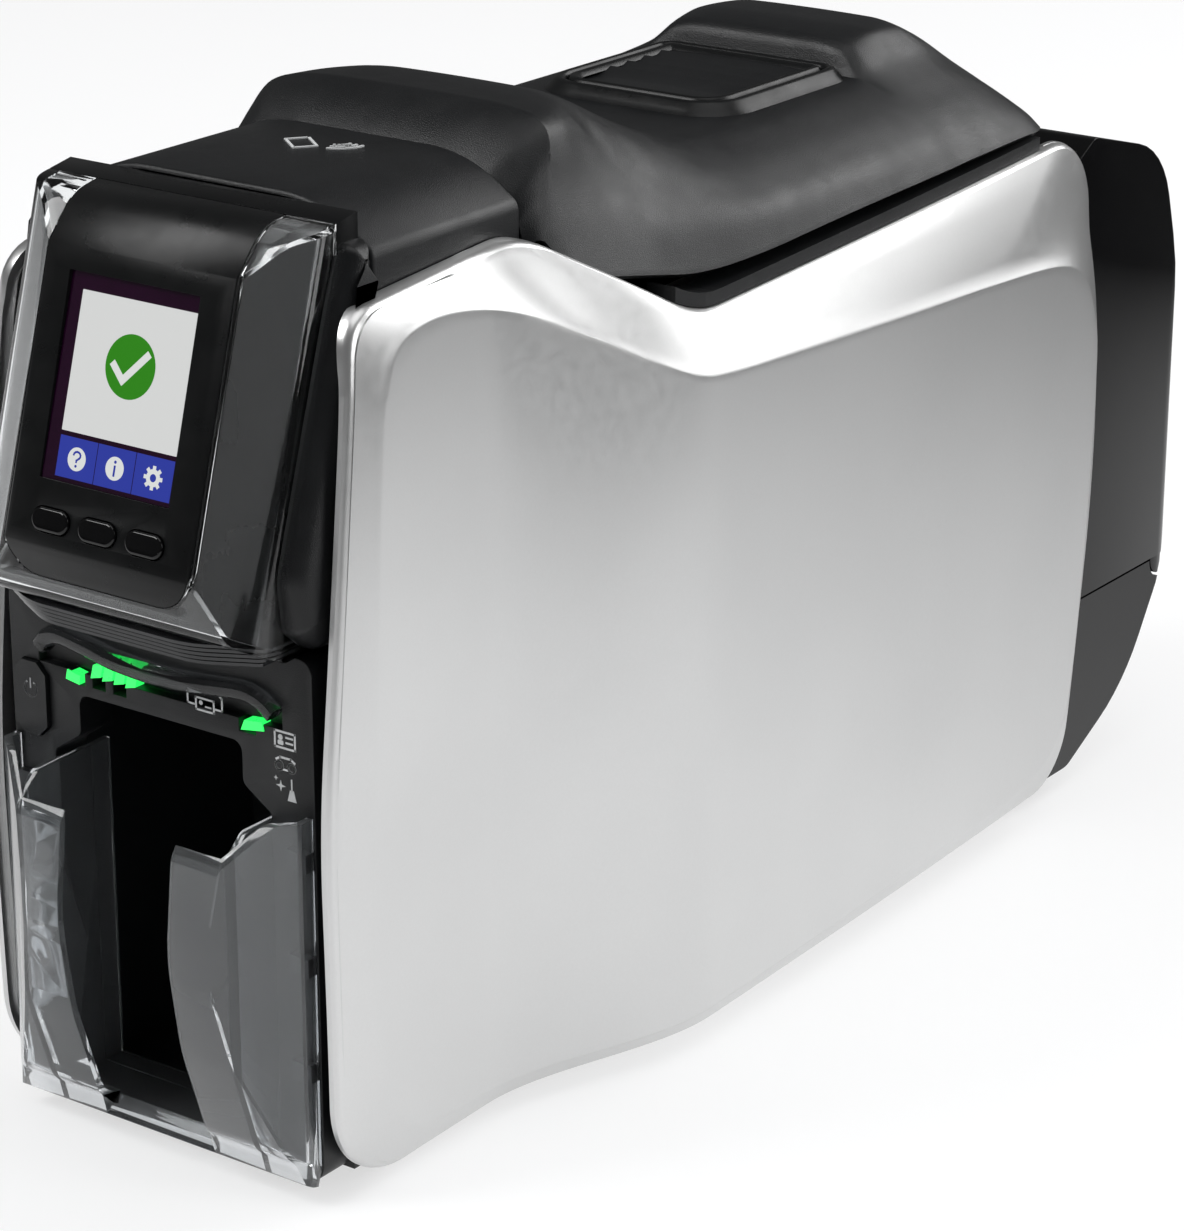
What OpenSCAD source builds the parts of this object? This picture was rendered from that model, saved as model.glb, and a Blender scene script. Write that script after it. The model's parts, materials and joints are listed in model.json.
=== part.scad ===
// Desktop card printer: a hinged ribbon lid, a tilted display head, a clear output
// hopper at the front and a card magazine behind a swing-down door at the rear.
// Millimetres. Origin on the table under the middle, +Z up, front towards -Y,
// +X to the right of somebody who faces the front.

/* [Body] */
// Reach of the display head and the hopper wings in front of the origin
front_reach = 217; // [205:1:230]
// Reach of the rear door behind the origin
rear_reach = 217; // [210:1:230]
// Greatest width, over the side panels
body_w = 158; // [150:1:170]
// Width over the side panels at the front edge
front_w = 119; // [114:1:124]
// Width of the black core between the side panels
core_w = 100; // [98:1:104]
// Height of the top edge of the side panels, along the lid
deck_z = 209; // [204:1:214]
// Height of the hump in the side panels, beside the top cover
hump_z = 236; // [232:1:240]
// Wall of the side panels
panel_t = 3; // [2:0.5:4]
// Set-back of the side panels behind the display head
panel_back = 11.5; // [8:0.5:16]
// Reach of the side panels behind the origin
panel_rear = 146; // [140:1:150]
// Height of the bottom edge of the side panels, at the front
panel_lift = 3; // [2:0.5:6]

/* [Lid] */
// Height of the collar, the highest point of the printer
lid_top = 261; // [256:1:266]
// Height of the field around the latch paddle
lid_field_z = 238.5; // [236:0.5:241]
// Height of the hump behind the latch paddle
lid_hump_z = 251; // [247:1:255]
// Wall of the lid
lid_t = 2.8; // [2:0.2:3.4]
// Gap between the lid and the side panels, filled by the gasket
lid_gap = 4; // [3:0.5:5]
// Set-in of the lower edge of the lid from the outer faces of the side panels
lid_inset = 9; // [8:0.5:12]
// Height of the hinge axis
hinge_z = 207; // [204:0.5:208]
// Place of the hinge axis behind the origin
hinge_y = 128; // [126:0.5:130]
// Length of the latch paddle
paddle_len = 56; // [48:1:58]
// Half width of the latch paddle
paddle_half = 27; // [22:1:29]

/* [Display head] */
// Backward tilt of the face, degrees
face_tilt = 16.5; // [12:0.5:20]
// Half width of the flat face
face_half = 30; // [27:0.5:32]
// Half width over the clear bezel
bezel_half = 46; // [44:0.5:47]
// Wall of the face and of the clear bezel
bezel_t = 2.4; // [2:0.1:3]
// Width of the screen
screen_w = 41.6; // [36:0.2:44]
// Length of the screen up the face
screen_h = 51; // [44:0.5:54]
// Length of a menu button
button_w = 12; // [9:0.5:13]
// Distance between the menu buttons
button_pitch = 15.2; // [14.5:0.1:17]

/* [Output hopper] */
// Height of a card, standing up
card_h = 85.6; // [80:0.1:90]
// Width of a card
card_w = 54; // [50:0.1:58]
// Half width of the card bay
bay_half = 36; // [33:0.5:37]
// Depth of the card bay, behind the front fascia
bay_depth = 66; // [50:1:70]
// Half width of the finger gap between the two wings
finger_half = 18.5; // [14:0.5:22]
// Wall of the clear hopper
wing_t = 2; // [1.6:0.1:2.6]
// Height of the clear hopper
wing_top = 101; // [96:1:103]

/* [Card path] */
// Height of the lower face of a card on its way through the printer
path_z = 140; // [136:1:144]
// Radius of the rollers
roller_r = 6.5; // [5.5:0.1:7.5]
// Radius of the roller shafts
shaft_r = 3; // [2.5:0.1:3.5]
// Radial clearance of a shaft in its bore
shaft_gap = 0.06; // [0.02:0.01:0.09]
// Radius of the belt pulleys
pulley_r = 7.5; // [6:0.1:8.5]
// Place of the print line, from the origin
print_y = -20; // [-24:1:-16]
// Radius of the full ribbon supply roll
supply_r = 15; // [12:0.5:16]
// Radius of the take-up roll
takeup_r = 11; // [9:0.5:13]

/* [Card magazine] */
// Depth of the stack of cards in the magazine
stack_depth = 31; // [20:1:32]
// Travel of the card pusher
pusher_travel = 25; // [15:1:26]
// Height of the floor of the magazine
magazine_z = 46; // [44:0.5:48]
// Wall of the rear door
door_t = 2.5; // [2:0.1:3]
// Set-in of the rear door from the outer faces of the side panels
door_inset = 12; // [11:0.5:15]

/* [Feet] */
// Height of the rubber feet
foot_h = 4; // [3:0.5:5]
// Radius of the rubber feet
foot_r = 8; // [6:0.5:9]

/* [Hidden] */
$fn = 48;

eps = 0.01;
sky = 400;                  // above everything, for cuts that are open at the top
fit = 0.3;                  // gap between neighbouring covers
matte = "#1b1c1e";
gloss = "#0c0c0e";
silver = "#c3c5c6";
clear = "#cfd8dc";
steel = "#9aa0a6";

front_y = -front_reach;
rear_y = rear_reach;
lid_front_y = -106;         // front and rear edge of the lid
lid_rear_y = 135;
core_half = core_w / 2;
body_half = body_w / 2;
front_half = front_w / 2;
lid_half = body_half - lid_inset;
door_half = body_half - door_inset;
panel_front_y = front_y + panel_back;
panel_rear_y = panel_rear;
arc_steps = 6;

// ---- outlines -------------------------------------------------------------

function unit(a) = a / norm(a);
function xy(p) = [p[0], p[1]];
function left_of(a) = [-a[1], a[0]];
function turn(a, b) = a[0] * b[1] - a[1] * b[0];

// Corner i of a counter-clockwise outline [x, y, radius], moved inwards by d.
function inset_corner(v, i, d) =
    let (n = len(v), p = xy(v[i]), e0 = unit(p - xy(v[(i + n - 1) % n])),
         e1 = unit(xy(v[(i + 1) % n]) - p), n0 = left_of(e0), n1 = left_of(e1),
         q = p + d * (n0 + n1) / (1 + n0 * n1), side = turn(e0, e1) > 0 ? -1 : 1)
    [q[0], q[1], v[i][2] > 0 ? max(v[i][2] + side * d, 0.5) : 0];
function inset(v, d) = [for (i = [0:len(v) - 1]) inset_corner(v, i, d)];

// The same outline with every corner drawn as an arc.
function corner_arc(p0, p1, p2, r) =
    r <= 0 ? [p1] :
    let (u = unit(p0 - p1), w = unit(p2 - p1), half = acos(u * w) / 2,
         c = p1 + unit(u + w) * r / sin(half), a = p1 + u * r / tan(half) - c,
         b = p1 + w * r / tan(half) - c, a0 = atan2(a[1], a[0]),
         sweep = (atan2(b[1], b[0]) - a0 + 540) % 360 - 180)
    [for (k = [0:arc_steps]) c + r * [cos(a0 + sweep * k / arc_steps),
                                      sin(a0 + sweep * k / arc_steps)]];
function rounded(v) = let (n = len(v))
    [for (i = [0:n - 1]) each corner_arc(xy(v[(i + n - 1) % n]), xy(v[i]),
                                         xy(v[(i + 1) % n]), v[i][2])];
function mirrored(v) = concat(v, [for (i = [len(v) - 1:-1:0]) [-v[i][0], v[i][1], v[i][2]]]);

// A side view (y, z) pushed along X, and a front view (x, z) pushed along Y.
module along_x(x0, x1) {
    translate([x0, 0, 0]) rotate([90, 0, 90]) linear_extrude(x1 - x0) children();
}
module along_y(y0, y1) {
    translate([0, y1, 0]) rotate([90, 0, 0]) linear_extrude(y1 - y0) children();
}
module box(lo, hi) {
    translate(lo) cube(hi - lo);
}
module both_sides() {
    children();
    mirror([1, 0, 0]) children();
}
// A shaft or a disc along X, centred on (y, z).
module rod(x0, x1, y, z, r) {
    translate([x0, y, z]) rotate([0, 90, 0]) cylinder(h = x1 - x0, r = r);
}

// ---- side panels ----------------------------------------------------------

flare_start = -138;         // the panels widen behind the display head
flare_len = 75;
rear_taper = 2.5;
dip_y = -64;
hump_y = -118;
panel_corners = [
    [panel_front_y + 2, panel_lift, 20],
    [panel_rear_y - 12, panel_lift + 8, 20],
    [panel_rear_y + 1, deck_z / 2, 300],
    [panel_rear_y - 3, deck_z + 6, 22],
    [dip_y, deck_z - 3, 40],
    [hump_y, hump_z, 28],
    [panel_front_y + 14, hump_z - 5, 12],
    [panel_front_y, deck_z / 2, 300]];

function smooth(t) = t <= 0 ? 0 : t >= 1 ? 1 : t * t * (3 - 2 * t);
function plan_x(y) = front_half
    + (body_half - front_half) * smooth((y - flare_start) / flare_len)
    - (y > 0 ? rear_taper * pow(y / panel_rear_y, 2) : 0);

module panel_outline(d) {
    polygon(rounded(inset(panel_corners, d)));
}
plan_steps = 24;
module panel_plan(d, x_in) {
    y0 = panel_front_y - 5;
    y1 = panel_rear_y + 5;
    ys = [for (k = [0:plan_steps]) y0 + (y1 - y0) * k / plan_steps];
    polygon(concat([[x_in, y0]], [for (y = ys) [plan_x(y) - d, y]], [[x_in, y1]]));
}
door_slot_half = door_half + 1;
door_front_y = 118;
module side_panel() {
    rim_x = core_half + fit;
    difference() {
        intersection() {
            along_x(rim_x, body_half + 1) panel_outline(0);
            linear_extrude(sky) panel_plan(0, rim_x - 1);
        }
        intersection() {
            along_x(rim_x - 1, body_half + 1) panel_outline(panel_t);
            linear_extrude(sky) panel_plan(panel_t, rim_x - 2);
        }
        box([0, door_front_y - 2, -1], [door_slot_half, rear_y, sky]);
    }
}
module right_side_panel() color(silver) side_panel();
module left_side_panel() color(silver) mirror([1, 0, 0]) side_panel();

// ---- base and frame -------------------------------------------------------

base_front_y = front_y + 33;
base_rear_y = door_front_y - fit;
base_floor = 3;
base_rim = 9;
tray_t = 2.5;
tray_top = foot_h + base_floor + base_rim;
wall_foot_z = foot_h + base_floor;
bay_t = 2;                  // wall of the card bay
module base_tray() color(matte) difference() {
    box([-core_half, base_front_y, foot_h], [core_half, base_rear_y, tray_top]);
    box([-core_half + tray_t, base_front_y + tray_t, wall_foot_z],
        [core_half - tray_t, base_rear_y - tray_t, sky]);
    box([-bay_half - bay_t - fit, base_front_y - 1, wall_foot_z],
        [bay_half + bay_t + fit, base_front_y + tray_t + 1, sky]);
    for (p = screw_places) translate([p[0], p[1], 0]) cylinder(h = 20, r = screw_r + 0.2);
}
screw_r = 1.5;
screw_places = [[-38, -60], [38, -60], [-38, 70], [38, 70]];
module screws() color(steel) for (p = screw_places) translate([p[0], p[1], foot_h]) {
    translate([0, 0, -1.8]) cylinder(h = 1.8, r = 2.8);
    translate([0, 0, -eps]) cylinder(h = base_floor + 3, r = screw_r);
}
foot_places = [[-38, base_front_y + 20], [38, base_front_y + 20],
               [-38, base_rear_y - 16], [38, base_rear_y - 16]];
module feet() color("#2a2a2a") for (p = foot_places) translate([p[0], p[1], 0])
    cylinder(h = foot_h, r = foot_r);

wall_in = 44;               // inner face of the steel side walls
wall_t = 2.5;
wall_front_y = -110;
wall_rear_y = base_rear_y - 0.1;
roller_z = path_z - roller_r;
transport_y = 35;
feed_y = 85;
exit_y = -98;
pick_z = path_z - 22;
pick_r = 8;
pick_y = wall_rear_y + 2.2 - pick_r;    // the roller all but touches the first card
cleaner_y = 60;
cleaner_r = 5.5;
card_t = 0.8;
cleaner_z = path_z + card_t + cleaner_r + fit;
motor_z = path_z - 50;
paddle_front_y = 8;
paddle_rear_y = paddle_front_y + paddle_len;
latch_y = paddle_front_y + 4;   // the latch turns on this axis
latch_z = lid_field_z - 10;
latch_r = 2;
keeper_z = 195;
keeper_y = latch_y + 8.2;
shafts = [[print_y, roller_z], [transport_y, roller_z], [feed_y, roller_z],
          [exit_y, roller_z], [pick_y, pick_z], [cleaner_y, cleaner_z]];
wall_windows = [[wall_front_y + 25, print_y - 28], [print_y + 32, transport_y + 13],
                [transport_y + 21, pick_y - 20]];
window_z = [42, motor_z + 10];
module frame_wall() {
    difference() {
        union() {
            intersection() {
                box([wall_in, wall_front_y, wall_foot_z], [wall_in + wall_t, wall_rear_y, sky]);
                union() {
                    along_x(0, body_half) panel_outline(panel_t + 2);
                    box([0, wall_front_y, wall_foot_z], [body_half, wall_rear_y, window_z[0]]);
                }
            }
            for (p = screw_places) if (p[0] > 0)
                box([p[0] - 5, p[1] - 6, wall_foot_z], [wall_in + eps, p[1] + 6, wall_foot_z + 2]);
        }
        for (p = screw_places) translate([p[0], p[1], 0]) cylinder(h = 20, r = screw_r + 0.2);
        box([wall_in - 1, base_rear_y - tray_t - fit, 0],
            [wall_in + wall_t + 1, wall_rear_y + 1, tray_top + fit]);
        for (s = shafts) rod(wall_in - 1, wall_in + wall_t + 1, s[0], s[1], shaft_r + shaft_gap);
        for (w = wall_windows)
            box([wall_in - 1, w[0], window_z[0]], [wall_in + wall_t + 1, w[1], window_z[1]]);
    }
}
module right_frame_wall() color(steel) difference() {
    frame_wall();
    rod(wall_in - 1, wall_in + wall_t + 1, print_y, motor_z, shaft_r + shaft_gap);
}
module left_frame_wall() color(steel) mirror([1, 0, 0]) frame_wall();

// ---- front fascia and output hopper ---------------------------------------

fascia_front_y = front_y + 21;
fascia_back_y = base_front_y - fit;
fascia_top = 146;
opening_top = 120;
power_x = -43;
power_z = 116;
power_w = 11;
power_h = 20;
bar_z = 129;
lens_z = 124.5;
module fascia_outline() polygon(rounded(mirrored([[core_half, foot_h, 6], [core_half, fascia_top, 4]])));
shoulder_z = wing_top + 2;      // the opening is narrower above the wings
module opening_outline() polygon(rounded(mirrored(
    [[bay_half, hopper_floor_z, 0], [bay_half, shoulder_z, 2],
     [card_w / 2, shoulder_z + 6, 3], [card_w / 2, opening_top, 3]])));
module power_outline(d) polygon([
    [power_x - power_w / 2 - d, power_z - power_h / 2 + 3],
    [power_x - power_w / 2 + 3, power_z - power_h / 2 - d],
    [power_x + power_w / 2 - 3, power_z - power_h / 2 - d],
    [power_x + power_w / 2 + d, power_z - power_h / 2 + 3],
    [power_x + power_w / 2 + d, power_z + power_h / 2 - 3],
    [power_x + power_w / 2 - 3, power_z + power_h / 2 + d],
    [power_x - power_w / 2 + 3, power_z + power_h / 2 + d],
    [power_x - power_w / 2 - d, power_z + power_h / 2 - 3]]);
lens_places = [[-27, 4], [-20, 4], [-13, 4], [29, 5]];
module front_fascia() color(matte) difference() {
    along_y(fascia_front_y, fascia_back_y) fascia_outline();
    along_y(fascia_front_y - 1, fascia_back_y + 1) opening_outline();
    along_y(fascia_front_y - 1, fascia_back_y + 1) power_outline(fit);
    box([-bar_half - fit, fascia_front_y - 1, bar_z - bar_h / 2 - fit],
        [bar_half + fit, fascia_front_y + 3, bar_z + bar_h / 2 + fit]);
    for (p = lens_places) box([p[0] - p[1] / 2 - 0.2, fascia_front_y - 1, lens_z - 1.7],
        [p[0] + p[1] / 2 + 0.2, fascia_front_y + 5, lens_z + 1.7]);
}
bar_half = 40;
bar_h = 5;
module light_bar() color(clear) box([-bar_half, fascia_front_y - 4, bar_z - bar_h / 2],
    [bar_half, fascia_front_y + 3 - fit, bar_z + bar_h / 2]);
module status_lenses() color("#20c050") for (p = lens_places)
    box([p[0] - p[1] / 2, fascia_front_y - 0.5, lens_z - 1.5],
        [p[0] + p[1] / 2, fascia_front_y + 5, lens_z + 1.5]);
module power_button() color(matte) along_y(fascia_front_y - 1.2, fascia_back_y - 3) power_outline(0);

bay_back_y = fascia_back_y + bay_depth;
// The cards drop in through a window in the back wall.
module output_bay() color("#101112") difference() {
    box([-bay_half - bay_t, fascia_back_y + fit, wall_foot_z],
        [bay_half + bay_t, bay_back_y, fascia_top]);
    box([-bay_half, fascia_back_y, wall_foot_z + bay_t],
        [bay_half, bay_back_y - bay_t, fascia_top - bay_t]);
    box([-card_w / 2 - 1, bay_back_y - bay_t - 1, path_z - 30],
        [card_w / 2 + 1, bay_back_y + 1, path_z + 4]);
}

hopper_floor_z = wall_foot_z + bay_t;
wing_back_y = fascia_back_y + 6;
wing_half = core_half - 0.5;    // the wings flare out over the front of the fascia
flare_top = wing_top + 4;
function wing_side(d, top) = inset([
    [wing_back_y + 30, hopper_floor_z, 0],
    [wing_back_y + 30, top, 0],
    [fascia_front_y - 9, top, 3],
    [front_y + 3, wing_top - 8, 6],
    [front_y, wing_top - 34, 60],
    [front_y + 4, 40, 60],
    [front_y + 14, hopper_floor_z, 10]], d);
function wing_plan(d) = inset(mirrored([
    [face_half, front_y, 8],
    [wing_half, fascia_front_y - 5, 2],
    [wing_half, wing_back_y + 30, 0]]), d);
module wing_form(d, top) intersection() {
    along_x(-body_half, body_half) polygon(rounded(wing_side(d, top)));
    translate([0, 0, hopper_floor_z + d]) linear_extrude(sky) polygon(rounded(wing_plan(d)));
}
// Each wing is a flared outer wall with a lip. A straight wall inside it slides
// into the opening of the fascia, and one floor joins the two wings.
module output_hopper() color(clear, 0.5) difference() {
    union() {
        intersection() {
            difference() {
                wing_form(0, flare_top);
                wing_form(wing_t, sky);
            }
            box([-wing_half, front_y, 0], [wing_half, fascia_front_y - fit, flare_top]);
        }
        intersection() {
            wing_form(0, wing_top);
            difference() {
                box([-bay_half + fit, front_y, 0], [bay_half - fit, wing_back_y, wing_top]);
                box([-bay_half + fit + wing_t, front_y, hopper_floor_z + wing_t],
                    [bay_half - fit - wing_t, wing_back_y + 1, sky]);
            }
        }
    }
    box([-finger_half, front_y - 1, hopper_floor_z + wing_t], [finger_half, wing_back_y + 1, sky]);
}
clip_heights = [36, 65, 93];
clip_len = 5;
module hopper_clips() color("#303236") both_sides() for (z = clip_heights)
    box([wing_half - wing_t - clip_len, fascia_front_y - fit - 2, z - 2.5],
        [wing_half - wing_t, fascia_front_y - fit, z + 2.5]);

// ---- front housing and top cover ------------------------------------------

seam_y = front_y + 47;      // seam between the display head and the top cover
cover_rear_y = lid_front_y - 5;
cover_crown = 7;
cover_edge_z = 246;
housing_t = 3;
cover_wall = 16;            // depth of the side walls of the top cover
housing_top = cover_edge_z - cover_wall;
module front_housing() color(matte) difference() {
    box([-core_half, seam_y + fit, fascia_top + fit], [core_half, cover_rear_y - 1, housing_top]);
    box([-core_half + housing_t, seam_y, fascia_top + fit + housing_t],
        [core_half - housing_t, cover_rear_y - 1 - housing_t, housing_top - housing_t]);
}
cover_t = 2.5;
function cover_section(d, low) = inset(mirrored([[core_half, low, 0],
    [core_half, cover_edge_z - 4, 4], [core_half - 16, cover_edge_z + cover_crown, 40]]), d);
module front_top_cover() color(matte) difference() {
    along_y(seam_y + fit, cover_rear_y) polygon(rounded(cover_section(0, housing_top + fit)));
    along_y(seam_y - 1, cover_rear_y - cover_t) polygon(rounded(cover_section(cover_t, housing_top - 10)));
}

// ---- display head ---------------------------------------------------------

face_low_z = 168;           // foot of the flat, tilted face
face_high_z = face_low_z + 72 * cos(face_tilt);
head_bottom = fascia_top + fit;
head_top = cover_edge_z + cover_crown - 1.5;
function face_y(z) = front_y + (z - face_low_z) * tan(face_tilt);
function head_side(d) = inset([
    [seam_y, head_bottom + 2, 0],
    [seam_y, head_top, 0],
    [face_y(face_high_z) + 10, head_top - 3, 14],
    [face_y(face_high_z) - 1, face_high_z - 1, 12],
    [front_y, face_low_z, 14],
    [front_y + 2, head_bottom + 7, 4],
    [front_y + 16, head_bottom, 6]], d);
head_bow = 9;              // how far the face curves back at its sides
function bow_plan(half, d) = inset(mirrored([
    [face_half - 2, 0, 24],
    [half, head_bow * (half - face_half + 2) / (bezel_half - face_half + 2) + 1, 5],
    [half, seam_y - front_y + 60, 0]]), d);
// The bow runs up the tilted face, so its plan is pushed along the face.
module head_form(half, d) intersection() {
    along_x(-half, half) polygon(rounded(head_side(d)));
    translate([0, front_y - 1, face_low_z]) rotate([-face_tilt, 0, 0])
        translate([0, 0, -60]) linear_extrude(180) polygon(rounded(bow_plan(half, d)));
}
module face_frame() {
    translate([0, front_y, face_low_z]) rotate([90 - face_tilt, 0, 0]) children();
}
screen_mid = 42;            // middle of the screen, up the face from its foot
button_mid = 6.5;
button_h = 6;
button_travel = 1.2;
function button_x(k) = (k - 1) * button_pitch;
plate_low = 160;
screen_pocket = 3;          // depth of the pockets behind the face plate
button_pocket = 7;
collar_d = 8;               // the housing comes to the surface this far before the seam
cheek_back = 18;
collar_y = seam_y - collar_d;
// A pill of w by h in the plane of the face, from depth z0 to z1.
module pill(w, h, z0, z1) {
    translate([0, 0, z0]) linear_extrude(z1 - z0) {
        translate([-(w - h) / 2, 0]) circle(h / 2);
        translate([(w - h) / 2, 0]) circle(h / 2);
        square([w - h, h], center = true);
    }
}
module face_holes(d) face_frame() {
    translate([-screen_w / 2 - d, screen_mid - screen_h / 2 - d, -bezel_t - screen_pocket])
        cube([screen_w + 2 * d, screen_h + 2 * d, bezel_t + screen_pocket + 3]);
    for (k = [0:2]) translate([button_x(k), button_mid, 0])
        pill(button_w + 2 * d, button_h + 2 * d, -bezel_t - button_pocket, 3);
}
module display_face() color(gloss) difference() {
    intersection() {
        head_form(bezel_half, 0);
        box([-face_half, front_y - 5, plate_low], [face_half, collar_y, sky]);
    }
    head_form(bezel_half, bezel_t);
    face_holes(fit);
}
module display_bezel() color(clear, 0.5) difference() {
    intersection() {
        head_form(bezel_half, 0);
        box([-bezel_half, front_y - 5, head_bottom], [bezel_half, collar_y, sky]);
    }
    head_form(bezel_half, bezel_t);
    box([-face_half - fit, front_y - 5, plate_low - fit], [face_half + fit, seam_y + 1, sky]);
}
module display_housing() color(matte) difference() {
    union() {
        head_form(bezel_half, bezel_t + fit);
        intersection() {
            head_form(bezel_half, 0);
            box([-bezel_half, collar_y + fit, 0], [bezel_half, seam_y, sky]);
        }
        difference() {
            translate([0, cheek_back, 0]) head_form(core_half, 0);
            box([-bezel_half - fit, front_y, 0], [bezel_half + fit, collar_y + fit, sky]);
        }
    }
    box([-core_half - 1, seam_y, 0], [core_half + 1, seam_y + 60, sky]);
    face_holes(2 * fit);
    face_frame() translate([-face_half, -5, -60])
        cube([2 * face_half, 80, 60 - bezel_t - button_pocket - 2.5]);
}
module screen_glass() color("#20283a") face_frame()
    translate([-screen_w / 2, screen_mid - screen_h / 2, fit - bezel_t - screen_pocket])
        cube([screen_w, screen_h, bezel_t + screen_pocket - fit - 0.4]);
module menu_button(k) color(gloss) face_frame() translate([button_x(k), button_mid, 0])
    pill(button_w, button_h, -bezel_t - 3, 1);
module left_menu_button() menu_button(0);
module middle_menu_button() menu_button(1);
module right_menu_button() menu_button(2);

// ---- lid ------------------------------------------------------------------

field_y = -24;              // the collar slopes down to the latch field here
hump_front_y = 68;
function lid_side(d) = inset([
    [lid_front_y, deck_z - 30, 0],
    [lid_rear_y, deck_z - 30, 0],
    [lid_rear_y, deck_z + 4, 3],
    [lid_rear_y - 10, lid_hump_z - 16, 14],
    [lid_rear_y - 34, lid_hump_z, 24],
    [hump_front_y + 4, lid_hump_z - 3, 4],
    [hump_front_y, lid_field_z, 3],
    [field_y, lid_field_z, 24],
    [lid_front_y + 36, lid_top - 0.5, 20],
    [lid_front_y + 14, lid_top, 6],
    [lid_front_y, hump_z - 4, 12]], d);
flank_top = 38;             // half width of the top field
function lid_section(d) = inset(mirrored([
    [lid_half, deck_z - 30, 0],
    [lid_half, deck_z + 10, 8],
    [lid_half - 9, lid_field_z - 8, 20],
    [flank_top + 2, lid_field_z + 1, 10],
    [flank_top, lid_field_z + 3, 0],
    [flank_top, sky, 0]]), d);
function collar_section(d) = inset(mirrored([
    [54, deck_z - 30, 0],
    [54, hump_z - 6, 0],
    [49.5, lid_top - 16, 10],
    [47, lid_top - 2, 11],
    [10, lid_top, 60]]), d);
function lid_plan(d) = inset(mirrored([
    [54, lid_front_y, 0],
    [60, -88, 60],
    [lid_half, -45, 40],
    [lid_half, 40, 0],
    [lid_half - 1, lid_rear_y - 20, 30],
    [56, lid_rear_y, 10]]), d);
module lid_form(d) intersection() {
    along_x(-body_half, body_half) polygon(rounded(lid_side(d)));
    translate([0, 0, deck_z - 30]) linear_extrude(sky) polygon(rounded(lid_plan(d)));
    union() {
        along_y(lid_front_y, lid_rear_y) polygon(rounded(lid_section(d)));
        along_y(lid_front_y, field_y - d) polygon(rounded(collar_section(d)));
    }
}
function paddle_plan(d) = inset([
    [-paddle_half, paddle_front_y, 9], [paddle_half, paddle_front_y, 9],
    [paddle_half, paddle_rear_y, 3], [-paddle_half, paddle_rear_y, 3]], d);
module lid_shell() color(matte) difference() {
    lid_form(0);
    lid_form(lid_t);
    along_x(-body_half, body_half) panel_outline(-lid_gap);
    translate([0, 0, lid_field_z - 20]) linear_extrude(60) polygon(rounded(paddle_plan(-0.8)));
}
hinge_r = 2.5;
knuckle_r = 5;
post_t = 3;                 // posts on the steel walls that carry the hinge pins
knuckle_x0 = wall_in + wall_t + post_t + 0.5;
knuckle_x1 = knuckle_x0 + 6;
beam_half = 40;
beam_y0 = print_y - 14;
beam_y1 = print_y + 14;
beam_z = 196;
spring_top = lid_field_z - lid_t - 6;
rail_z = [beam_z + 22, beam_z + 30];
arm_y = door_front_y - 1;
arm_t = 5.5;
arm_z = [rail_z[0] - 2, rail_z[0] + 3];
lid_roof_z = lid_field_z - lid_t - fit;
module lid_frame() color("#26282b") difference() {
    union() {
        box([-beam_half, beam_y0, beam_z], [beam_half, beam_y1, lid_roof_z]);
        both_sides() {
            box([beam_half - eps, beam_y0, rail_z[0]], [beam_half + 8, arm_y + arm_t, rail_z[1]]);
            box([beam_half + 1, latch_y - 5, rail_z[0]], [beam_half + 4, latch_y + 5, lid_roof_z - 1]);
            box([beam_half + 7, arm_y, arm_z[0]], [knuckle_x1, arm_y + arm_t, arm_z[1]]);
            box([knuckle_x0, arm_y, hinge_z], [knuckle_x1, arm_y + arm_t, arm_z[1]]);
            box([knuckle_x0, arm_y, hinge_z], [knuckle_x1, hinge_y, hinge_z + 8]);
            rod(knuckle_x0, knuckle_x1, hinge_y, hinge_z, knuckle_r);
        }
    }
    box([-beam_half + 3, beam_y0 + 3, beam_z - 1], [beam_half - 3, beam_y1 - 3, spring_top]);
    both_sides() rod(beam_half - 1, beam_half + 9, latch_y, latch_z, latch_r + shaft_gap);
    both_sides() rod(knuckle_x0 - 1, knuckle_x1 + 1, hinge_y, hinge_z, hinge_r + shaft_gap);
}
// The hinge pins stand on two posts on the steel walls.
module lid_hinge_pins() color(steel) both_sides() {
    rod(wall_in + wall_t, knuckle_x1 + 2, hinge_y, hinge_z, hinge_r);
    box([wall_in + wall_t, hinge_y - 6, hinge_z - 30], [wall_in + wall_t + post_t, hinge_y + 4, hinge_z + 4]);
    box([wall_in + wall_t, wall_rear_y - 16, hinge_z - 30],
        [wall_in + wall_t + post_t, hinge_y + 4, hinge_z - 20]);
}
module lid_gasket() color("#151617") both_sides() intersection() {
    difference() {
        along_x(lid_half - 9, lid_half + 2) panel_outline(-lid_gap + fit);
        along_x(0, body_half) panel_outline(0);
    }
    translate([0, 0, deck_z - 30]) linear_extrude(80) panel_plan(8, lid_half - 10);
    box([0, -72, deck_z - 10], [body_half, door_front_y - 4, hump_z + 10]);
}
groove_count = 4;
module latch_paddle() color(matte) difference() {
    union() {
        translate([0, 0, lid_field_z - 3]) linear_extrude(5.5) polygon(rounded(paddle_plan(0)));
        both_sides() box([paddle_half - 8, latch_y - 3, latch_z - 4],
            [paddle_half - 4, latch_y + 4, lid_field_z - 2]);
    }
    for (k = [0:groove_count - 1]) box([-paddle_half + 5, paddle_front_y + 16 + k * 9, lid_field_z + 1.7],
        [paddle_half - 5, paddle_front_y + 17.2 + k * 9, lid_field_z + 3]);
    rod(-paddle_half, paddle_half, latch_y, latch_z, latch_r + shaft_gap);
}
module latch_axle() color(steel) rod(-beam_half - 8, beam_half + 8, latch_y, latch_z, latch_r);
hook_x = 31.5;
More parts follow.
